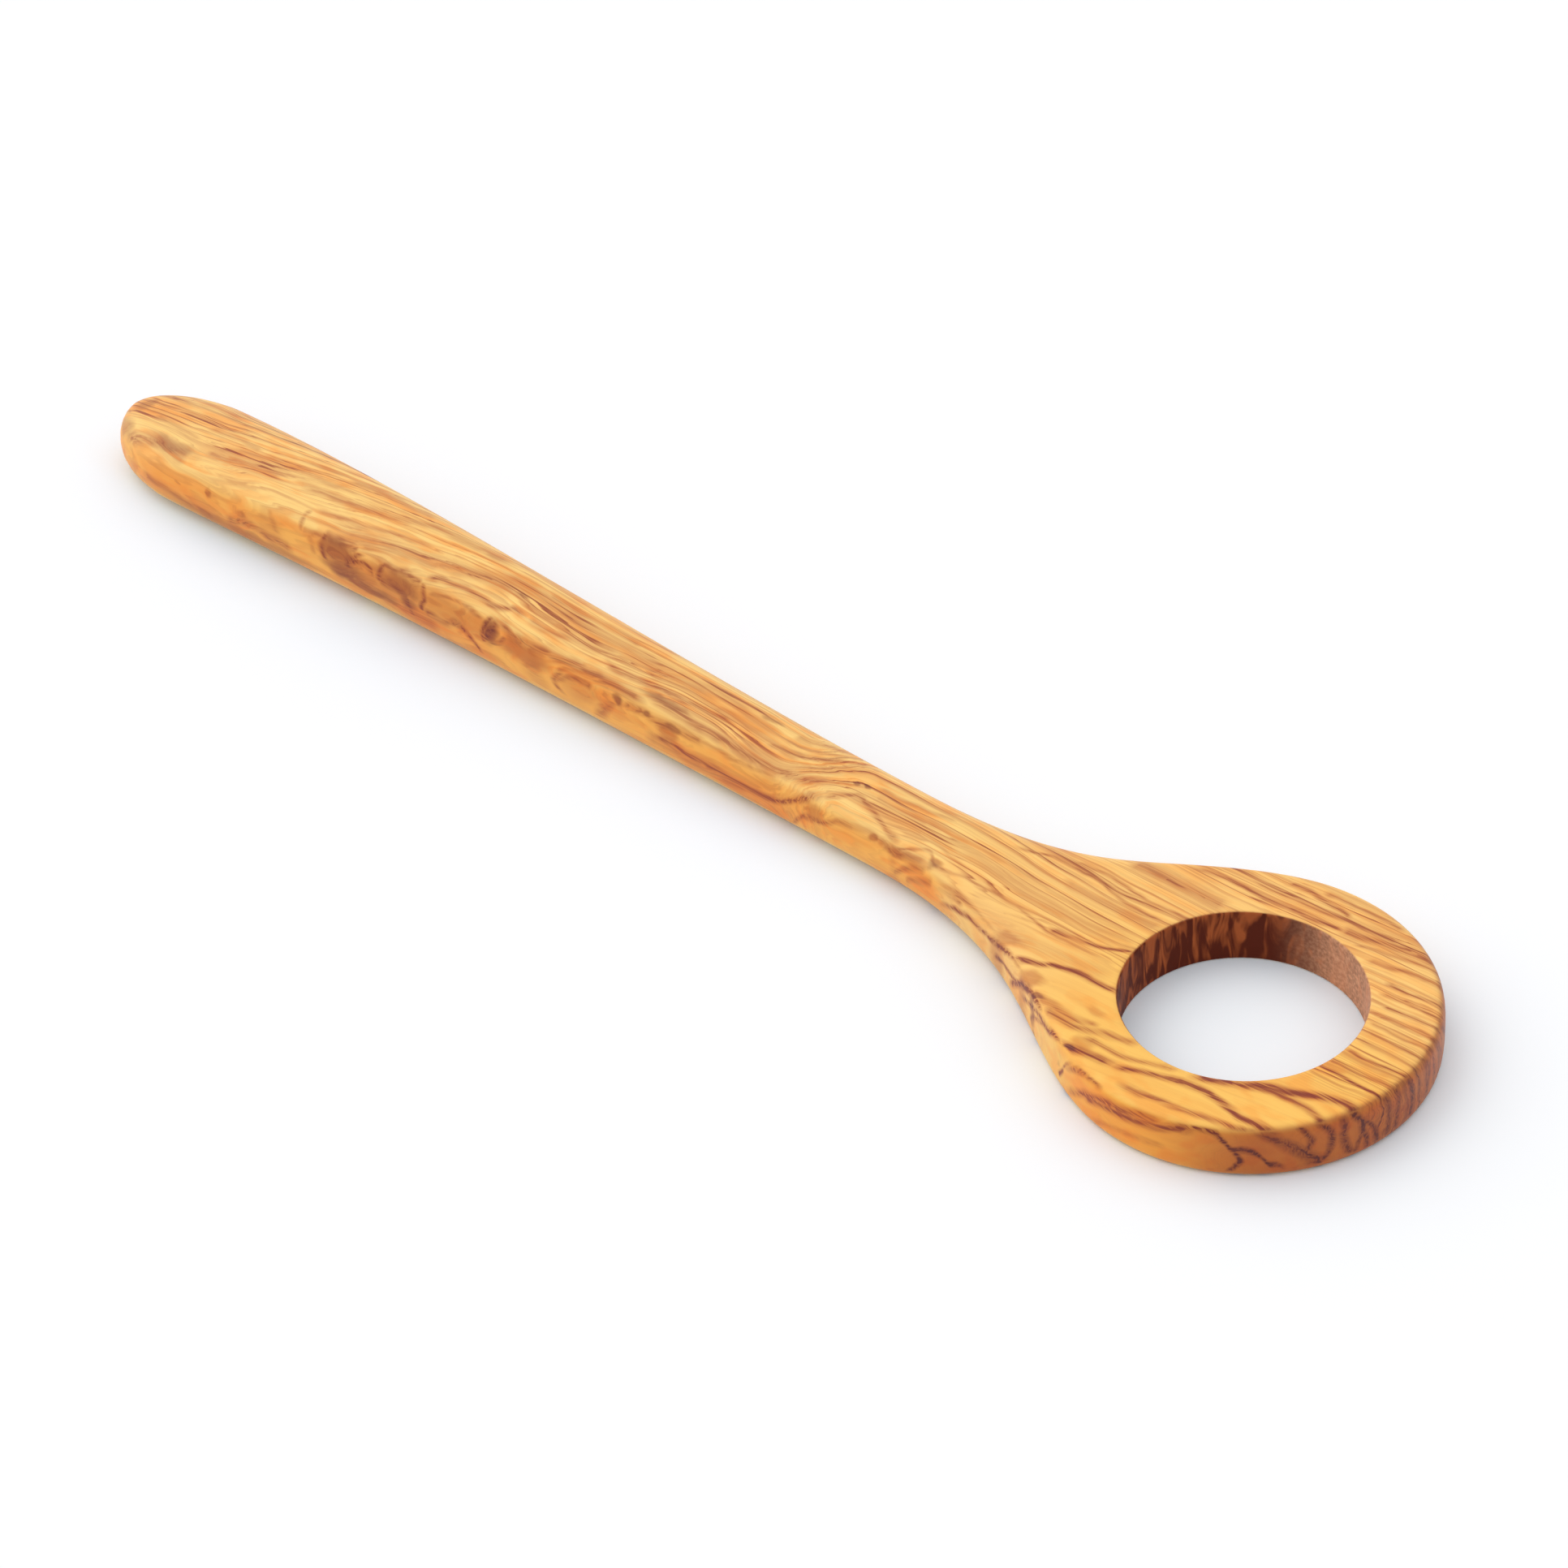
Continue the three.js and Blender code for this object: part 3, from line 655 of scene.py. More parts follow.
def drawn_lines(tree, spot, zone):
    """All drawn veins, each kind on its own coordinates."""
    groups = (
        (HANDLE_VEINS, spot.along, spot.turn, spot.per_turn, None),
        (HANDLE_VEINS_ROUND, spot.turn, spot.along, 1.0, None),
        (PLAN_VEINS, spot.along, spot.across, 1.0, zone.open_top),
        (SHOULDER_VEINS, spot.along, spot.up, 1.0, zone.shoulder_wall),
        (EDGE_VEINS_ALONG, spot.bearing, spot.up, 1.0, zone.head_wall),
        (EDGE_VEINS_DOWN, spot.up, spot.bearing, spot.per_bearing, zone.head_wall),
    )
    figure = None
    for veins, run, across_run, scale, window in groups:
        shown = drawn_veins(tree, veins, run, across_run, scale)
        if window:
            shown = calc(tree, "MULTIPLY", shown, window)
        figure = calc(tree, "MAXIMUM", figure, shown) if figure else shown
    return figure


# How the edges of the soft patches are torn, in millimetres, and in degrees round the handle.
TEAR_SIZE = (7, 4, 4)
TEAR_ALONG, TEAR_ACROSS, TEAR_TURN = 5.0, 2.5, 18.0


def soft_patches(tree, spot):
    """The dark, the rust and the pale patches. One dark patch is partly painted shade, and one pale patch
    is a painted sheen.
    """
    tear_x, tear_y, _ = parts(tree, about_zero(tree, noise(tree, spot.at, TEAR_SIZE, Detail=3.0)["Color"]))
    along = calc(tree, "MULTIPLY_ADD", tear_x, TEAR_ALONG, spot.along)
    turn = calc(tree, "MULTIPLY_ADD", tear_y, TEAR_TURN, spot.turn)
    across = calc(tree, "MULTIPLY_ADD", tear_y, TEAR_ACROSS, spot.across)
    on_skin = joined(tree, along, turn)
    on_plan = joined(tree, along, across)
    pairs = ((HANDLE_DARK_AND_SHADE, PLAN_DARK), (HANDLE_RUST, PLAN_RUST), (HANDLE_PALE_AND_SHEEN, PLAN_PALE))
    return [calc(tree, "MAXIMUM", drawn_patches(tree, on_skin, skin), drawn_patches(tree, on_plan, plan))
            for skin, plan in pairs]


# The slow roll of the growth layers, in millimetres. It is stronger on the near side.
ROLL_SIZE = (40, 13, 9)
ROLL_RANGE = (0.3, 0.7)            # of the noise, which may pass both ends
ROLL_REACH = 1.5
ROLL_FROM_NEAR = (-9, 3)
ROLL_NEAR, ROLL_FAR = 1.6, 0.7


def growth_layers(tree, spot):
    """How deep a point lies in the growth layers, which drift, roll and bulge round eyes. The second
    value is the place with that depth for its y, in which the fibres run straight."""
    along, across, up = parts(tree, shift(tree, "ADD", spot.at, spot.fray))
    layer = across
    for start, end, rise in GRAIN_DRIFT:
        layer = calc(tree, "ADD", layer, ramp(tree, along, (start, end), 0.0, -rise))
    roll = noise(tree, spot.at, ROLL_SIZE, Detail=2.0)["Fac"]
    roll = straight(tree, roll, ROLL_RANGE, -ROLL_REACH, ROLL_REACH, clamp=False)
    wild = ramp(tree, across, ROLL_FROM_NEAR, ROLL_NEAR, ROLL_FAR)
    layer = calc(tree, "MULTIPLY_ADD", roll, wild, layer)
    for centre, halves, bulge in EYES:
        swell = depth_inside(tree, spot.drawn_at, centre, halves, "QUADRATIC_SPHERE")
        layer = calc(tree, "MULTIPLY_ADD", swell, bulge, layer)
    return layer, joined(tree, along, layer, up)


# A growth ring, by the share of its width: where it darkens, with what curve, and where it ends.
RING_DARKENS = (0.5, 0.93)
RING_CURVE = 1.4
RING_ENDS = (0.9, 1.0)
RING_WANDER = 0.45                 # how often its width changes, per ring


def growth_rings(tree, layer):
    """Growth rings, broad ones among fine ones. Each darkens slowly to its own depth and ends sharply."""
    rings = []
    for width, wander_size, least, most in RING_SETS:
        wander = put(tree, "ShaderNodeTexNoise", {"W": layer, "Scale": RING_WANDER / width, "Detail": 1.0},
                     noise_dimensions="1D").outputs["Fac"]
        ring = calc(tree, "DIVIDE", calc(tree, "MULTIPLY_ADD", wander, wander_size, layer), width)
        number = calc(tree, "FLOOR", ring)
        chance = put(tree, "ShaderNodeTexWhiteNoise", {"W": number}, noise_dimensions="1D").outputs["Value"]
        depth = straight(tree, chance, low=least, high=most)
        past = calc(tree, "FRACT", ring)
        rise = calc(tree, "POWER", ramp(tree, past, RING_DARKENS), RING_CURVE)
        shown = calc(tree, "MULTIPLY", rise, ramp(tree, past, RING_ENDS, 1.0, 0.0))
        rings.append(calc(tree, "MULTIPLY", shown, depth))
    return calc(tree, "MAXIMUM", *rings)


# Lines are weaker on the near side: from what turn or distance across, and how much of them is left there.
CALM_TURN, CALM_ON_HANDLE = (30, 68), 0.35
CALM_ACROSS, CALM_ON_HEAD = (-12, -5), 0.12
# Lines come and go along their length, and keep a share of their depth where they are faint.
FADE_SIZE = (45, 1.8, 4)
FADE_RANGE = (0.38, 0.56)
FAINT_ON_HANDLE, FAINT_ON_HEAD = 0.5, 0.85
# Fine strokes of brown fibre lie between the lines, in bands where the ground is clouded.
STROKE_SIZE = (45, 0.6, 2.2)
STROKE_RANGE, STROKE_DEPTH = (0.5, 0.6), 0.8
BAND_RANGE, BAND_LEAST = (0.4, 0.58), 0.2


def grain_lines(tree, spot, zone, layer, grain, cloud):
    """Growth rings and strokes of fibre."""
    calm_turn = ramp(tree, spot.turn, CALM_TURN, CALM_ON_HANDLE)
    calm_plan = ramp(tree, spot.across, CALM_ACROSS, CALM_ON_HEAD)
    calm = between(tree, zone.past_neck, calm_turn, calm_plan)
    line = calc(tree, "MULTIPLY", growth_rings(tree, layer), calm)
    faint = straight(tree, zone.past_neck, low=FAINT_ON_HANDLE, high=FAINT_ON_HEAD)
    fade = straight(tree, noise(tree, grain, FADE_SIZE, Detail=1.0)["Fac"], FADE_RANGE, faint)
    line = calc(tree, "MULTIPLY", line, fade)
    stroke = noise(tree, grain, STROKE_SIZE, Detail=1.5, Roughness=0.5)["Fac"]
    stroke = straight(tree, stroke, STROKE_RANGE, 0.0, STROKE_DEPTH)
    band = calc(tree, "MULTIPLY", straight(tree, cloud, BAND_RANGE, BAND_LEAST), calm)
    stroke = calc(tree, "MULTIPLY", calc(tree, "MULTIPLY", stroke, band), zone.plainer)
    return calc(tree, "MAXIMUM", line, stroke)


# The ground: pale streaks and a mottle over amber. The near half of the head is mostly mottled.
STREAK_SIZE = (40, 1.3, 7)
MOTTLE_SIZE = (6, 3, 3)
MOTTLE_SHARE, MOTTLE_SHARE_OF_GOLD = 0.35, 0.9
PALE_RANGE, PALE_ON_HEAD = (0.38, 0.53), 0.62
# Slow clouds of deeper amber over that.
CLOUD_SIZE = (26, 6, 8)
DEEP_RANGE, DEEP_MOST = (0.48, 0.75), 0.7


def ground_colour(tree, look, spot, zone, grain, cloud):
    """The wood between its lines, from pale to rust."""
    dark_and_shade_spots, rust_spots, pale_and_sheen_spots = soft_patches(tree, spot)
    streak = noise(tree, grain, STREAK_SIZE, Detail=2.0, Roughness=0.6)["Fac"]
    mottle = noise(tree, spot.at, MOTTLE_SIZE, Detail=1.0)["Fac"]
    mottled = straight(tree, zone.gold, low=MOTTLE_SHARE, high=MOTTLE_SHARE_OF_GOLD)
    pale = straight(tree, between(tree, mottled, streak, mottle), PALE_RANGE)
    # The pale patches include a painted sheen on the handle's ridge.
    pale = calc(tree, "MAXIMUM", between(tree, zone.plainer, PALE_ON_HEAD, pale), pale_and_sheen_spots)
    ground = blend(tree, pale, look.amber, look.pale)
    deep = straight(tree, cloud, DEEP_RANGE, 0.0, DEEP_MOST)
    ground = blend(tree, calc(tree, "MULTIPLY", deep, zone.plainer), ground, look.deep)
    ground = blend(tree, rust_spots, ground, look.rust)
    return blend(tree, dark_and_shade_spots, ground, look.burl_and_shade)


# The hole's wall: scorched streaks, and dusty raised fibres on the side that faces the handle. These are
# laid by the way the wall faces, lighter towards the key light, so they are partly painted light too.
SCORCH_SIZE = (4, 2, 9)
SCORCH_RANGE = (0.42, 0.68)
FUZZ_SIZE = (0.7, 0.7, 0.7)
FUZZ_RANGE, FUZZ_LEAST = (0.35, 0.75), 0.5
FUZZ_AND_LIGHT_FACING = (0.45, -0.25)        # x of the wall's normal


def bored_wall(tree, look, spot, zone):
    """The wall of the hole, which the cutter's heat has darkened."""
    scorch = noise(tree, spot.at, SCORCH_SIZE, Detail=2.0, Distortion=1.2)["Fac"]
    scorched = blend(tree, ramp(tree, scorch, SCORCH_RANGE), look.bored, look.bored_light)
    fuzz_and_light = straight(tree, noise(tree, spot.at, FUZZ_SIZE, Detail=2.0)["Fac"], FUZZ_RANGE, FUZZ_LEAST)
    # Partly painted light: the fibres' colour grows on the wall that faces the key light.
    fuzz_and_light = calc(tree, "MULTIPLY", fuzz_and_light, ramp(tree, zone.face_x, FUZZ_AND_LIGHT_FACING))
    return blend(tree, fuzz_and_light, scorched, look.fuzz_and_light)


# Single fibres break the lines up and stand out a little from the surface.
FIBRE_SIZE = (16, 0.35, 0.8)
FIBRE_RANGE, FIBRE_EFFECT = (0.35, 0.6), (0.6, 1.1)
FIBRE_HEIGHT, FIBRE_RELIEF = 0.05 * MM, 0.25
BOLD_RANGE = (0.6, 1.0)            # lines as strong as this are darkened once more
# From this level to this one the walls take the side tint, which is partly painted shade.
SIDE_TINT_AND_SHADE_LEVEL = (0.72, 0.2)
# The end-grain tint, partly painted shade, comes in on faces towards +x.
END_GRAIN_AND_SHADE_FACING, END_GRAIN_AND_SHADE_MOST = (0.05, 0.7), 0.75   # x of the normal where end grain shows, and its greatest share
# The sheen of oil rubbed into sanded wood. The bored wall has nearly none.
OIL_ROUGHNESS, OIL_IOR = 0.42, 1.45
OIL_GLOSS, BORED_GLOSS = 0.5, 0.05


def oiled_olive_wood(look):
    """Olive wood, sanded fine and oiled: golden ground with wandering brown veins, and a satin sheen."""
    wood = bpy.data.materials.new("oiled_olive_wood_sanded")
    tree = fresh_tree(wood)
    spot = wood_places(tree)
    zone = wood_zones(tree, spot)
    figure = drawn_lines(tree, spot, zone)
    layer, grain = growth_layers(tree, spot)
    cloud = noise(tree, grain, CLOUD_SIZE, Detail=2.0)["Fac"]
    fibre = noise(tree, grain, FIBRE_SIZE, Detail=2.0)["Fac"]
    shade = ground_colour(tree, look, spot, zone, grain, cloud)

    # Lines take light from the ground, so they go red-brown and not grey.
    line = calc(tree, "MAXIMUM", grain_lines(tree, spot, zone, layer, grain, cloud), figure)
    line = calc(tree, "MULTIPLY", line, straight(tree, fibre, FIBRE_RANGE, *FIBRE_EFFECT))
    shade = blend(tree, line, shade, look.line, "MULTIPLY")
    shade = blend(tree, straight(tree, line, BOLD_RANGE), shade, look.dark, "MULTIPLY")

    # The near half of the head is a deeper gold. The sides are darker and more orange except on the
    # shoulders: partly the tone of the side grain, partly painted shade, as walls take less light than
    # tops.
    shade = blend(tree, zone.gold, shade, look.gold, "MULTIPLY")
    off_shoulder = calc(tree, "SUBTRACT", 1.0, zone.shoulder)
    side = calc(tree, "MULTIPLY", ramp(tree, zone.level, SIDE_TINT_AND_SHADE_LEVEL), off_shoulder)
    shade = blend(tree, side, shade, look.side, "MULTIPLY")

    # End grain drinks more oil, so it goes deeper and redder, and its lines show twice as strong. It is
    # laid only on faces towards +x, away from the key light, so this darkening is partly painted shade.
    deep = blend(tree, 1.0, shade, look.end_grain_and_shade, "MULTIPLY")
    deep = blend(tree, line, deep, look.line, "MULTIPLY")
    shade = blend(tree, ramp(tree, zone.face_x, END_GRAIN_AND_SHADE_FACING, 0.0, END_GRAIN_AND_SHADE_MOST), shade, deep)
    shade = blend(tree, zone.bored, shade, bored_wall(tree, look, spot, zone))

    bump = put(tree, "ShaderNodeBump", {
        "Height": fibre, "Strength": FIBRE_RELIEF, "Distance": FIBRE_HEIGHT})
    gloss = straight(tree, zone.bored, low=OIL_GLOSS, high=BORED_GLOSS)
    surface = put(tree, "ShaderNodeBsdfPrincipled", {
        "Base Color": shade, "Roughness": OIL_ROUGHNESS, "IOR": OIL_IOR, "Specular IOR Level": gloss,
        "Normal": bump.outputs[0]})
    put(tree, "ShaderNodeOutputMaterial", {"Surface": surface.outputs[0]})
    return wood


def reach_to(solid, start, way):
    """How far the solid's surface lies from a point along a direction."""
    met, place, _, _ = solid.ray_cast(start, way)
    if not met:
        raise RuntimeError(f"no surface of the CAD solid is met from {tuple(start)}")
    return (place - Vector(start)).length


def pick(piece, kind, wanted):
    """Selects the piece's edges or vertices that pass a test, and nothing else."""
    bpy.ops.mesh.select_mode(type=kind)
    bpy.ops.mesh.select_all(action="DESELECT")
    cage = bmesh.from_edit_mesh(piece.data)
    for part in cage.edges if kind == "EDGE" else cage.verts:
        if wanted(part):
            part.select_set(True)
    bmesh.update_edit_mesh(piece.data)


def from_axis(corner, axis_x):
    """How far a corner lies from an upright axis on the centre line."""
    return math.hypot(corner.co.x - axis_x, corner.co.y)


def grow(factors, about_x, shift):
    """Extrudes what is selected, resizes it about a place on the centre line and moves it along."""
    bpy.ops.mesh.extrude_region_move(TRANSFORM_OT_translate={"value": (0, 0, 0)})
    bpy.ops.transform.resize(value=factors, center_override=(about_x, 0, 0))
    bpy.ops.transform.translate(value=(shift, 0, 0))


def lay_out_head(hole_radius, inset_radius):
    """The flat ring of the head, from the hole's rim to the head's own edge, in edit mode."""
    bpy.ops.mesh.primitive_circle_add(vertices=SECTORS, radius=hole_radius, location=(HOLE_X, 0, 0))
    piece = bpy.context.object
    piece.name = piece.data.name = "carved_whisk"
    bpy.ops.object.transform_apply(location=True)
    bpy.ops.object.mode_set(mode="EDIT")
    bpy.ops.mesh.select_all(action="SELECT")
    middle_radius = (hole_radius + inset_radius) / 2
    half_shift = (HEAD_X - HOLE_X) / 2
    grow((middle_radius / hole_radius, middle_radius / hole_radius, 1), HOLE_X, half_shift)
    grow((inset_radius / middle_radius, inset_radius / middle_radius, 1), HOLE_X + half_shift, half_shift)
    free_angle = math.pi * FREE_SECTORS / SECTORS
    pick(piece, "EDGE", lambda edge: all(
        abs(from_axis(corner, HEAD_X) - inset_radius) < NEAR_CIRCLE
        and abs(math.atan2(corner.co.y, corner.co.x - HEAD_X)) < free_angle + NEAR_TURN
        for corner in edge.verts))
    grow((HEAD_RADIUS / inset_radius, HEAD_RADIUS / inset_radius, 1), HEAD_X, 0)
    return piece


def draw_out_handle(piece, solid, hole_radius, inset_radius):
    """Shoulders, handle and butt, row by row from the open side of the head's ring."""
    free_angle = math.pi * FREE_SECTORS / SECTORS
    side_x = HEAD_X + HEAD_RADIUS * math.cos(free_angle)
    half_width = HEAD_RADIUS * math.sin(free_angle)
    bulge = side_x - (HEAD_X - inset_radius)
    open_before = side_x + NEAR_SIDE
    pick(piece, "EDGE", lambda edge: len(edge.link_faces) == 1 and all(
        corner.co.x < open_before and from_axis(corner, HOLE_X) > hole_radius + OFF_RIM
        for corner in edge.verts))
    rows = []
    for row in range(1, SHOULDER_ROWS + 1):
        share = row / SHOULDER_ROWS
        rows.append((side_x + share * (ROWS_STRAIGHTEN_AT - side_x), bulge * (1 - share) ** STRAIGHTENING))
    for row in range(1, HANDLE_ROWS + 1):
        rows.append((ROWS_STRAIGHTEN_AT + row / HANDLE_ROWS * (ROWS_CURVE_AT - ROWS_STRAIGHTEN_AT), 0))
    last_bulge = LAST_ROW_AT - cad_low.x
    for row in range(1, BUTT_ROWS + 1):
        share = row / BUTT_ROWS
        rows.append((ROWS_CURVE_AT + share * (LAST_ROW_AT - ROWS_CURVE_AT), last_bulge * share ** CURVING))
    for next_x, next_bulge in rows:
        next_bulge = max(next_bulge, LEAST_BULGE)
        next_width = WELL_CLEAR - reach_to(solid, (next_x, WELL_CLEAR, SIDE_HEIGHT), (0, -1, 0))
        grow((next_bulge / bulge, next_width / half_width, 1), side_x, next_x - side_x)
        side_x, bulge, half_width = next_x, next_bulge, next_width


def thicken(piece, thickness, edge_round):
    """Raises the flat plan to a board, with lines round its edge, and lifts the handle's back."""
    bpy.ops.mesh.select_all(action="SELECT")
    bpy.ops.mesh.extrude_region_move(TRANSFORM_OT_translate={"value": (0, 0, thickness)})
    for height in (edge_round, thickness - edge_round):
        bpy.ops.mesh.select_all(action="SELECT")
        bpy.ops.mesh.bisect(plane_co=(0, 0, height), plane_no=(0, 0, 1))
    for before_x, lift in HANDLE_LIFTS:
        pick(piece, "VERT", lambda corner: corner.co.x < before_x)
        bpy.ops.transform.resize(value=(1, 1, lift), center_override=(0, 0, 0))
    bpy.ops.mesh.select_all(action="SELECT")
    bpy.ops.mesh.remove_doubles(threshold=SAME_PLACE)
    bpy.ops.mesh.normals_make_consistent(inside=False)


def on_rim(edge, hole_radius, thickness):
    """Whether an edge runs along the hole's upper or lower rim."""
    return all(
        abs(from_axis(corner, HOLE_X) - hole_radius) < NEAR_RIM
        and min(abs(corner.co.z), abs(corner.co.z - thickness)) < NEAR_FACE
        for corner in edge.verts)


def settle(piece, kind, name, **settings):
    """Adds a modifier to the piece and applies it."""
    modifier = piece.modifiers.new(name, kind)
    for key, value in settings.items():
        setattr(modifier, key, value)
    bpy.ops.object.modifier_apply(modifier=modifier.name)


class WHISK_OT_carve(bpy.types.Operator):
    """Carve the whisk as one smooth piece over its CAD solid and finish it in oiled olive wood"""
    bl_idname = "whisk.carve"
    bl_label = "Carve the whisk"

    def execute(self, context):
        sizes = context.scene.whisk_sizes
        solid = frame["nodes"][SOLID]
        hole_radius = reach_to(solid, (HOLE_X, 0, SIDE_HEIGHT), (1, 0, 0))
        rim_middle = HEAD_X + (hole_radius + HEAD_RADIUS) / 2
        thickness = WELL_CLEAR - reach_to(solid, (rim_middle, 0, WELL_CLEAR), (0, 0, -1))
        inset_radius = HEAD_RADIUS - sizes.edge_round
        bpy.ops.object.select_all(action="DESELECT")
        piece = lay_out_head(hole_radius, inset_radius)
        draw_out_handle(piece, solid, hole_radius, inset_radius)
        thicken(piece, thickness, sizes.edge_round)
        pick(piece, "EDGE", lambda edge: on_rim(edge, hole_radius, thickness))
        bpy.ops.transform.edge_crease(value=1)
        bpy.ops.object.mode_set(mode="OBJECT")
        settle(piece, "SUBSURF", "rounding", levels=1, render_levels=1)
        settle(piece, "SHRINKWRAP", "onto_solid", target=solid, wrap_method="NEAREST_SURFACEPOINT")
        bpy.ops.object.mode_set(mode="EDIT")
        pick(piece, "EDGE", lambda edge: on_rim(edge, hole_radius, thickness))
        bpy.ops.mesh.bevel(offset=sizes.rim_ease, segments=EASE_STEPS, affect="EDGES")
        bpy.ops.object.mode_set(mode="OBJECT")
        settle(piece, "SUBSURF", "sanding", levels=1, render_levels=1)
        bpy.ops.object.shade_smooth_by_angle(angle=SHARP_ANGLE)
        piece.data.materials.clear()
        piece.data.materials.append(oiled_olive_wood(context.scene.olive_wood))
        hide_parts(SOLID)
        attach(piece, "root")
        return {"FINISHED"}


# The camera's place, from the photograph's perspective: angles in degrees, lengths in metres.
VIEW_AZIMUTH, VIEW_ELEVATION, VIEW_ROLL = 42.957, 39.723, -2.42
VIEW_DISTANCE = 1.1085
VIEW_RIGHT, VIEW_UP = 10.506 * MM, -3.95 * MM
LENS, SENSOR = 144.0, 36.0         # millimetres
VIEW_END = 20                      # nothing farther is shown

FLOOR_SIZE = 8                     # metres
# The floor as it is seen, in linear red, green and blue. In the open it comes out just white. Hidden
# floor is cooler, so that the wood's warm light leaves a grey shadow, mostly on the handle's near side.
FLOOR_IN_OPEN = (0.99, 1.0, 1.02)
FLOOR_BY_HEAD = (0.82, 1.0, 1.12)
FLOOR_BY_HANDLE = (0.79, 1.12, 1.38)
BESIDE_HANDLE = (70 * MM, 40 * MM)     # along the whisk, where the handle's tint begins and is full
NEAR_OF_HANDLE = (-6 * MM, -12 * MM)   # and across it
CONTACT_SAMPLES = 4

# The dome's strength at the horizon and overhead, as shares of the fill light.
DOME_LOW, DOME_HIGH = 3 / 7, 9 / 7
KEY_FROM = (-0.77, -0.22, 0.55)
KEY_SPREAD = math.radians(80)


def aim_camera():
    """A camera at the photograph's viewing angle."""
    angles = (VIEW_AZIMUTH, VIEW_ELEVATION, VIEW_ROLL)
    azimuth, elevation, roll = (math.radians(angle) for angle in angles)
    back = Vector((math.sin(azimuth) * math.cos(elevation), -math.cos(azimuth) * math.cos(elevation),
                   math.sin(elevation)))
    level = Vector((math.cos(azimuth), math.sin(azimuth), 0))
    upright = back.cross(level)
    right = math.cos(roll) * level + math.sin(roll) * upright
    top = back.cross(right)
    lens = bpy.data.cameras.new("photo_view")
    lens.lens, lens.sensor_width = LENS, SENSOR
    lens.clip_end = VIEW_END
    camera = bpy.data.objects.new("photo_view", lens)
    turn = Matrix((right, top, back)).transposed().to_4x4()
    place = back * VIEW_DISTANCE + right * VIEW_RIGHT + top * VIEW_UP
    camera.matrix_world = Matrix.Translation(place) @ turn
    bpy.context.scene.collection.objects.link(camera)
    bpy.context.scene.camera = camera


def seen_rays(tree):
    """1 for the rays that show the floor or the backdrop: straight, in gloss or through glass."""
    path = put(tree, "ShaderNodeLightPath").outputs
    seen = calc(tree, "MAXIMUM", path["Is Camera Ray"], path["Is Glossy Ray"])
    return calc(tree, "MAXIMUM", seen, path["Is Transmission Ray"])


def matt_white_paper(look):
    """Matt white paper. It lights the whisk in its own colour and is seen balanced for the wood's light."""
    paper = bpy.data.materials.new("matt_white_paper")
    tree = fresh_tree(paper)
    along, across, _ = parts(tree, put(tree, "ShaderNodeTexCoord").outputs["Object"])
    beside = ramp(tree, along, BESIDE_HANDLE)
    near_handle = calc(tree, "MULTIPLY", beside, ramp(tree, across, NEAR_OF_HANDLE))
    hidden = blend(tree, near_handle, FLOOR_BY_HEAD, FLOOR_BY_HANDLE)
    open_share = put(tree, "ShaderNodeAmbientOcclusion", {"Distance": look.contact},
                     samples=CONTACT_SAMPLES).outputs["AO"]
    seen_as = blend(tree, open_share, hidden, FLOOR_IN_OPEN)
    shown = blend(tree, seen_rays(tree), look.floor, seen_as)
    matt = put(tree, "ShaderNodeBsdfDiffuse", {"Color": shown})
    put(tree, "ShaderNodeOutputMaterial", {"Surface": matt.outputs[0]})
    return paper


def white_dome(look):
    """White light from all round, stronger overhead. The dome itself is seen as plain white."""
    world = bpy.data.worlds.new("studio")
    tree = fresh_tree(world)
    height = parts(tree, put(tree, "ShaderNodeTexCoord").outputs["Generated"])["Z"]
    dome = straight(tree, height, low=DOME_LOW * look.fill, high=DOME_HIGH * look.fill)
    glow = between(tree, seen_rays(tree), dome, 1.0)
    sky = put(tree, "ShaderNodeBackground", {"Color": (1, 1, 1, 1), "Strength": glow})
    put(tree, "ShaderNodeOutputWorld", {"Surface": sky.outputs[0]})
    return world


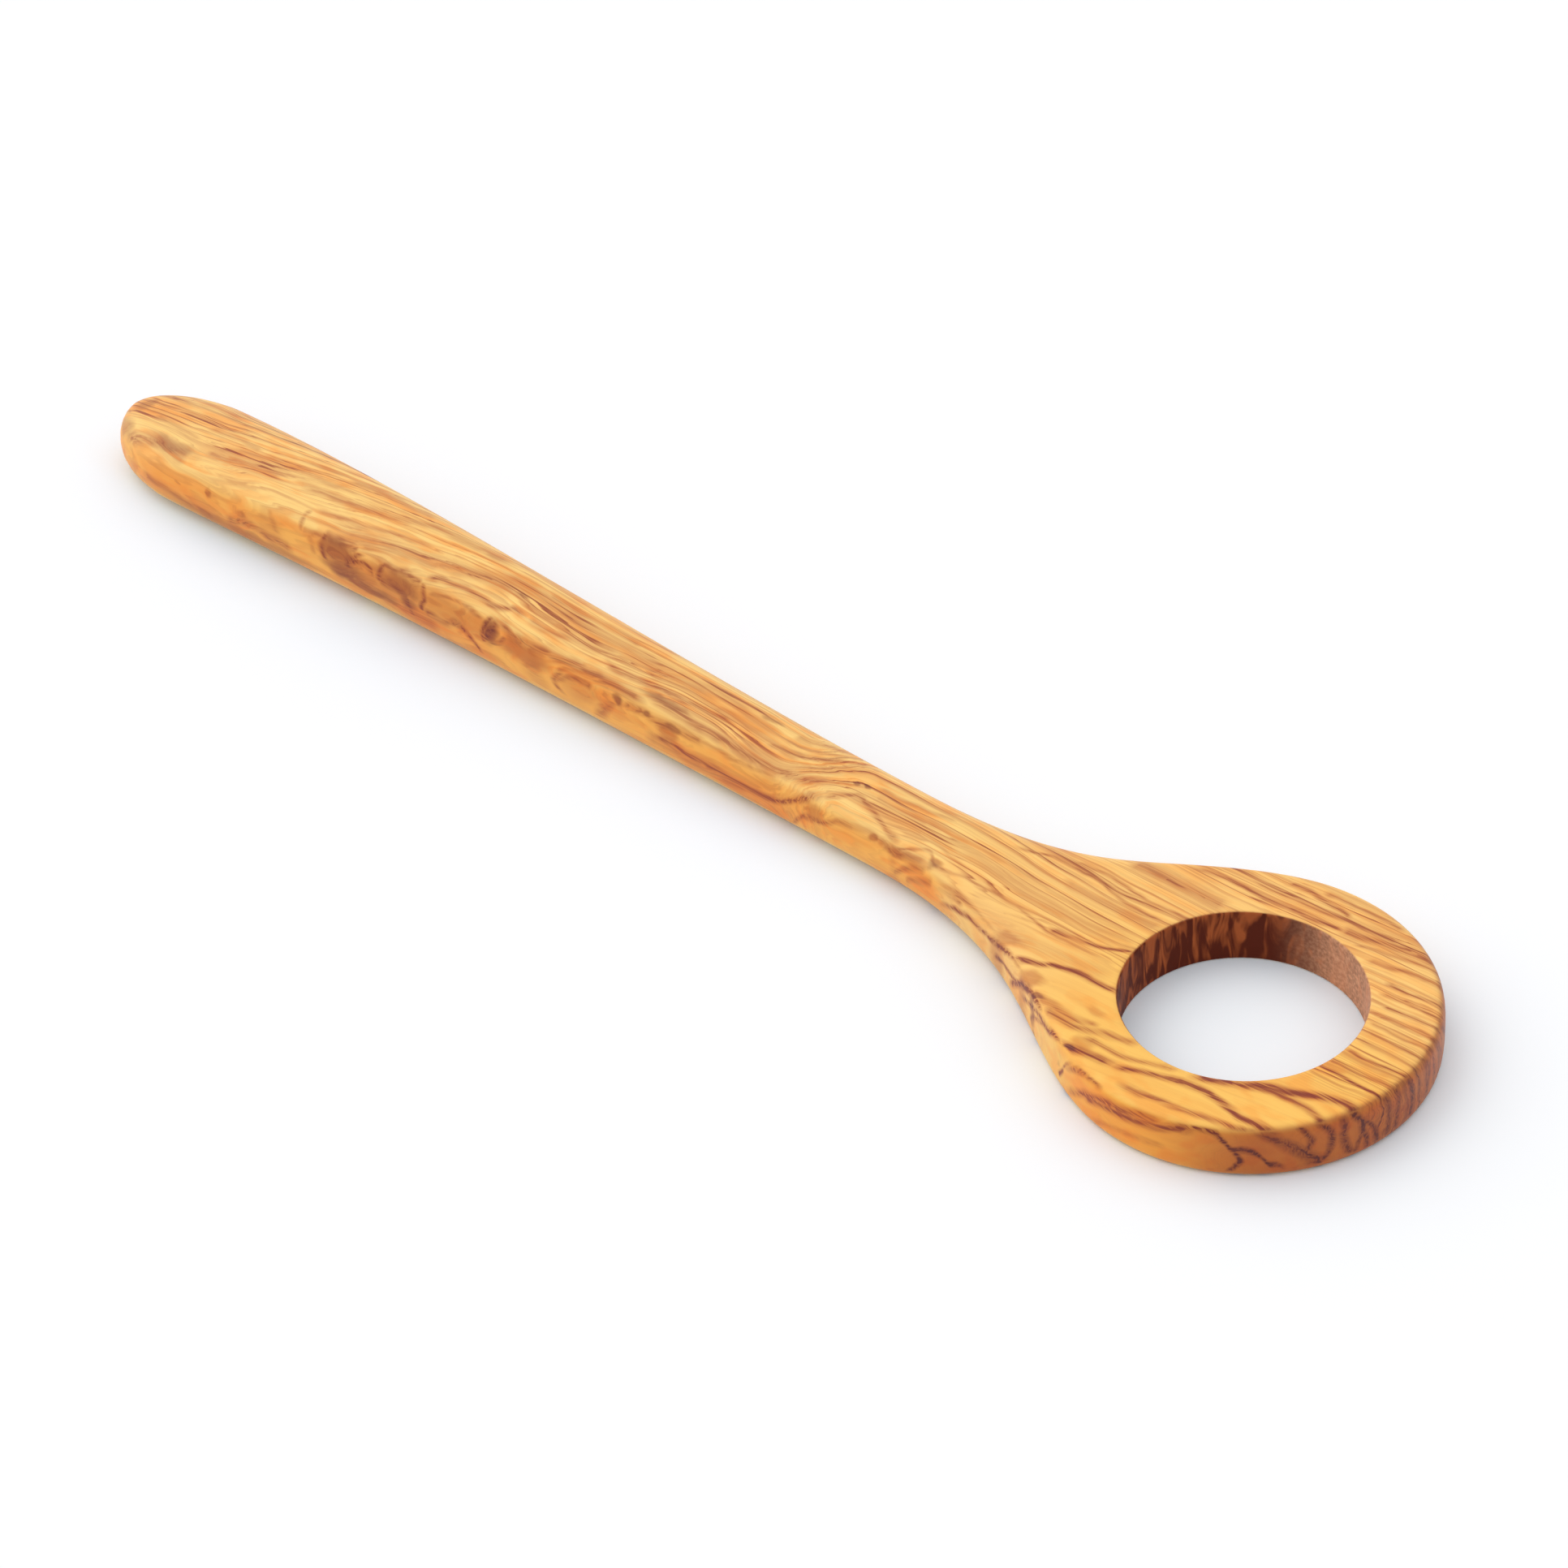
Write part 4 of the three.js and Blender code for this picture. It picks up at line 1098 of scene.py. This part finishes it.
class WHISK_OT_stage(bpy.types.Operator):
    """Set the pale floor, the soft studio light and the camera"""
    bl_idname = "whisk.stage"
    bl_label = "Set the stage"

    def execute(self, context):
        look = context.scene.whisk_stage
        bpy.ops.object.select_all(action="DESELECT")
        bpy.ops.mesh.primitive_plane_add(size=FLOOR_SIZE, location=(0, 0, 0))
        floor = context.object
        floor.name = "studio_floor"
        floor.data.materials.append(matt_white_paper(look))
        context.scene.world = white_dome(look)
        bpy.ops.object.light_add(type="SUN", location=KEY_FROM)
        key = context.object
        key.name = "soft_key"
        key.data.angle = KEY_SPREAD
        key.data.energy = look.key_power
        key.rotation_euler = key.location.to_track_quat("Z", "Y").to_euler()
        aim_camera()
        context.scene.view_settings.view_transform = "Standard"
        return {"FINISHED"}


class WHISK_PT_panel(bpy.types.Panel):
    """Lists the whisk's sizes, colours and steps"""
    bl_idname = "WHISK_PT_panel"
    bl_label = "Batter whisk"
    bl_space_type = "VIEW_3D"
    bl_region_type = "UI"
    bl_category = "Whisk"

    def draw(self, context):
        for group, step in (
            (context.scene.whisk_sizes, None),
            (context.scene.olive_wood, WHISK_OT_carve.bl_idname),
            (context.scene.whisk_stage, WHISK_OT_stage.bl_idname),
        ):
            column = self.layout.column()
            for name in group.__annotations__:
                column.prop(group, name)
            if step:
                column.operator(step)


CLASSES = (WhiskSizes, OliveWoodLook, StageLook, WHISK_OT_carve, WHISK_OT_stage, WHISK_PT_panel)


def register():
    for made in CLASSES:
        bpy.utils.register_class(made)
    bpy.types.Scene.whisk_sizes = bpy.props.PointerProperty(type=WhiskSizes)
    bpy.types.Scene.olive_wood = bpy.props.PointerProperty(type=OliveWoodLook)
    bpy.types.Scene.whisk_stage = bpy.props.PointerProperty(type=StageLook)


def unregister():
    del bpy.types.Scene.whisk_stage
    del bpy.types.Scene.olive_wood
    del bpy.types.Scene.whisk_sizes
    for made in reversed(CLASSES):
        bpy.utils.unregister_class(made)


def main():
    register()
    bpy.ops.whisk.carve()
    bpy.ops.whisk.stage()


if __name__ == "__main__":
    main()
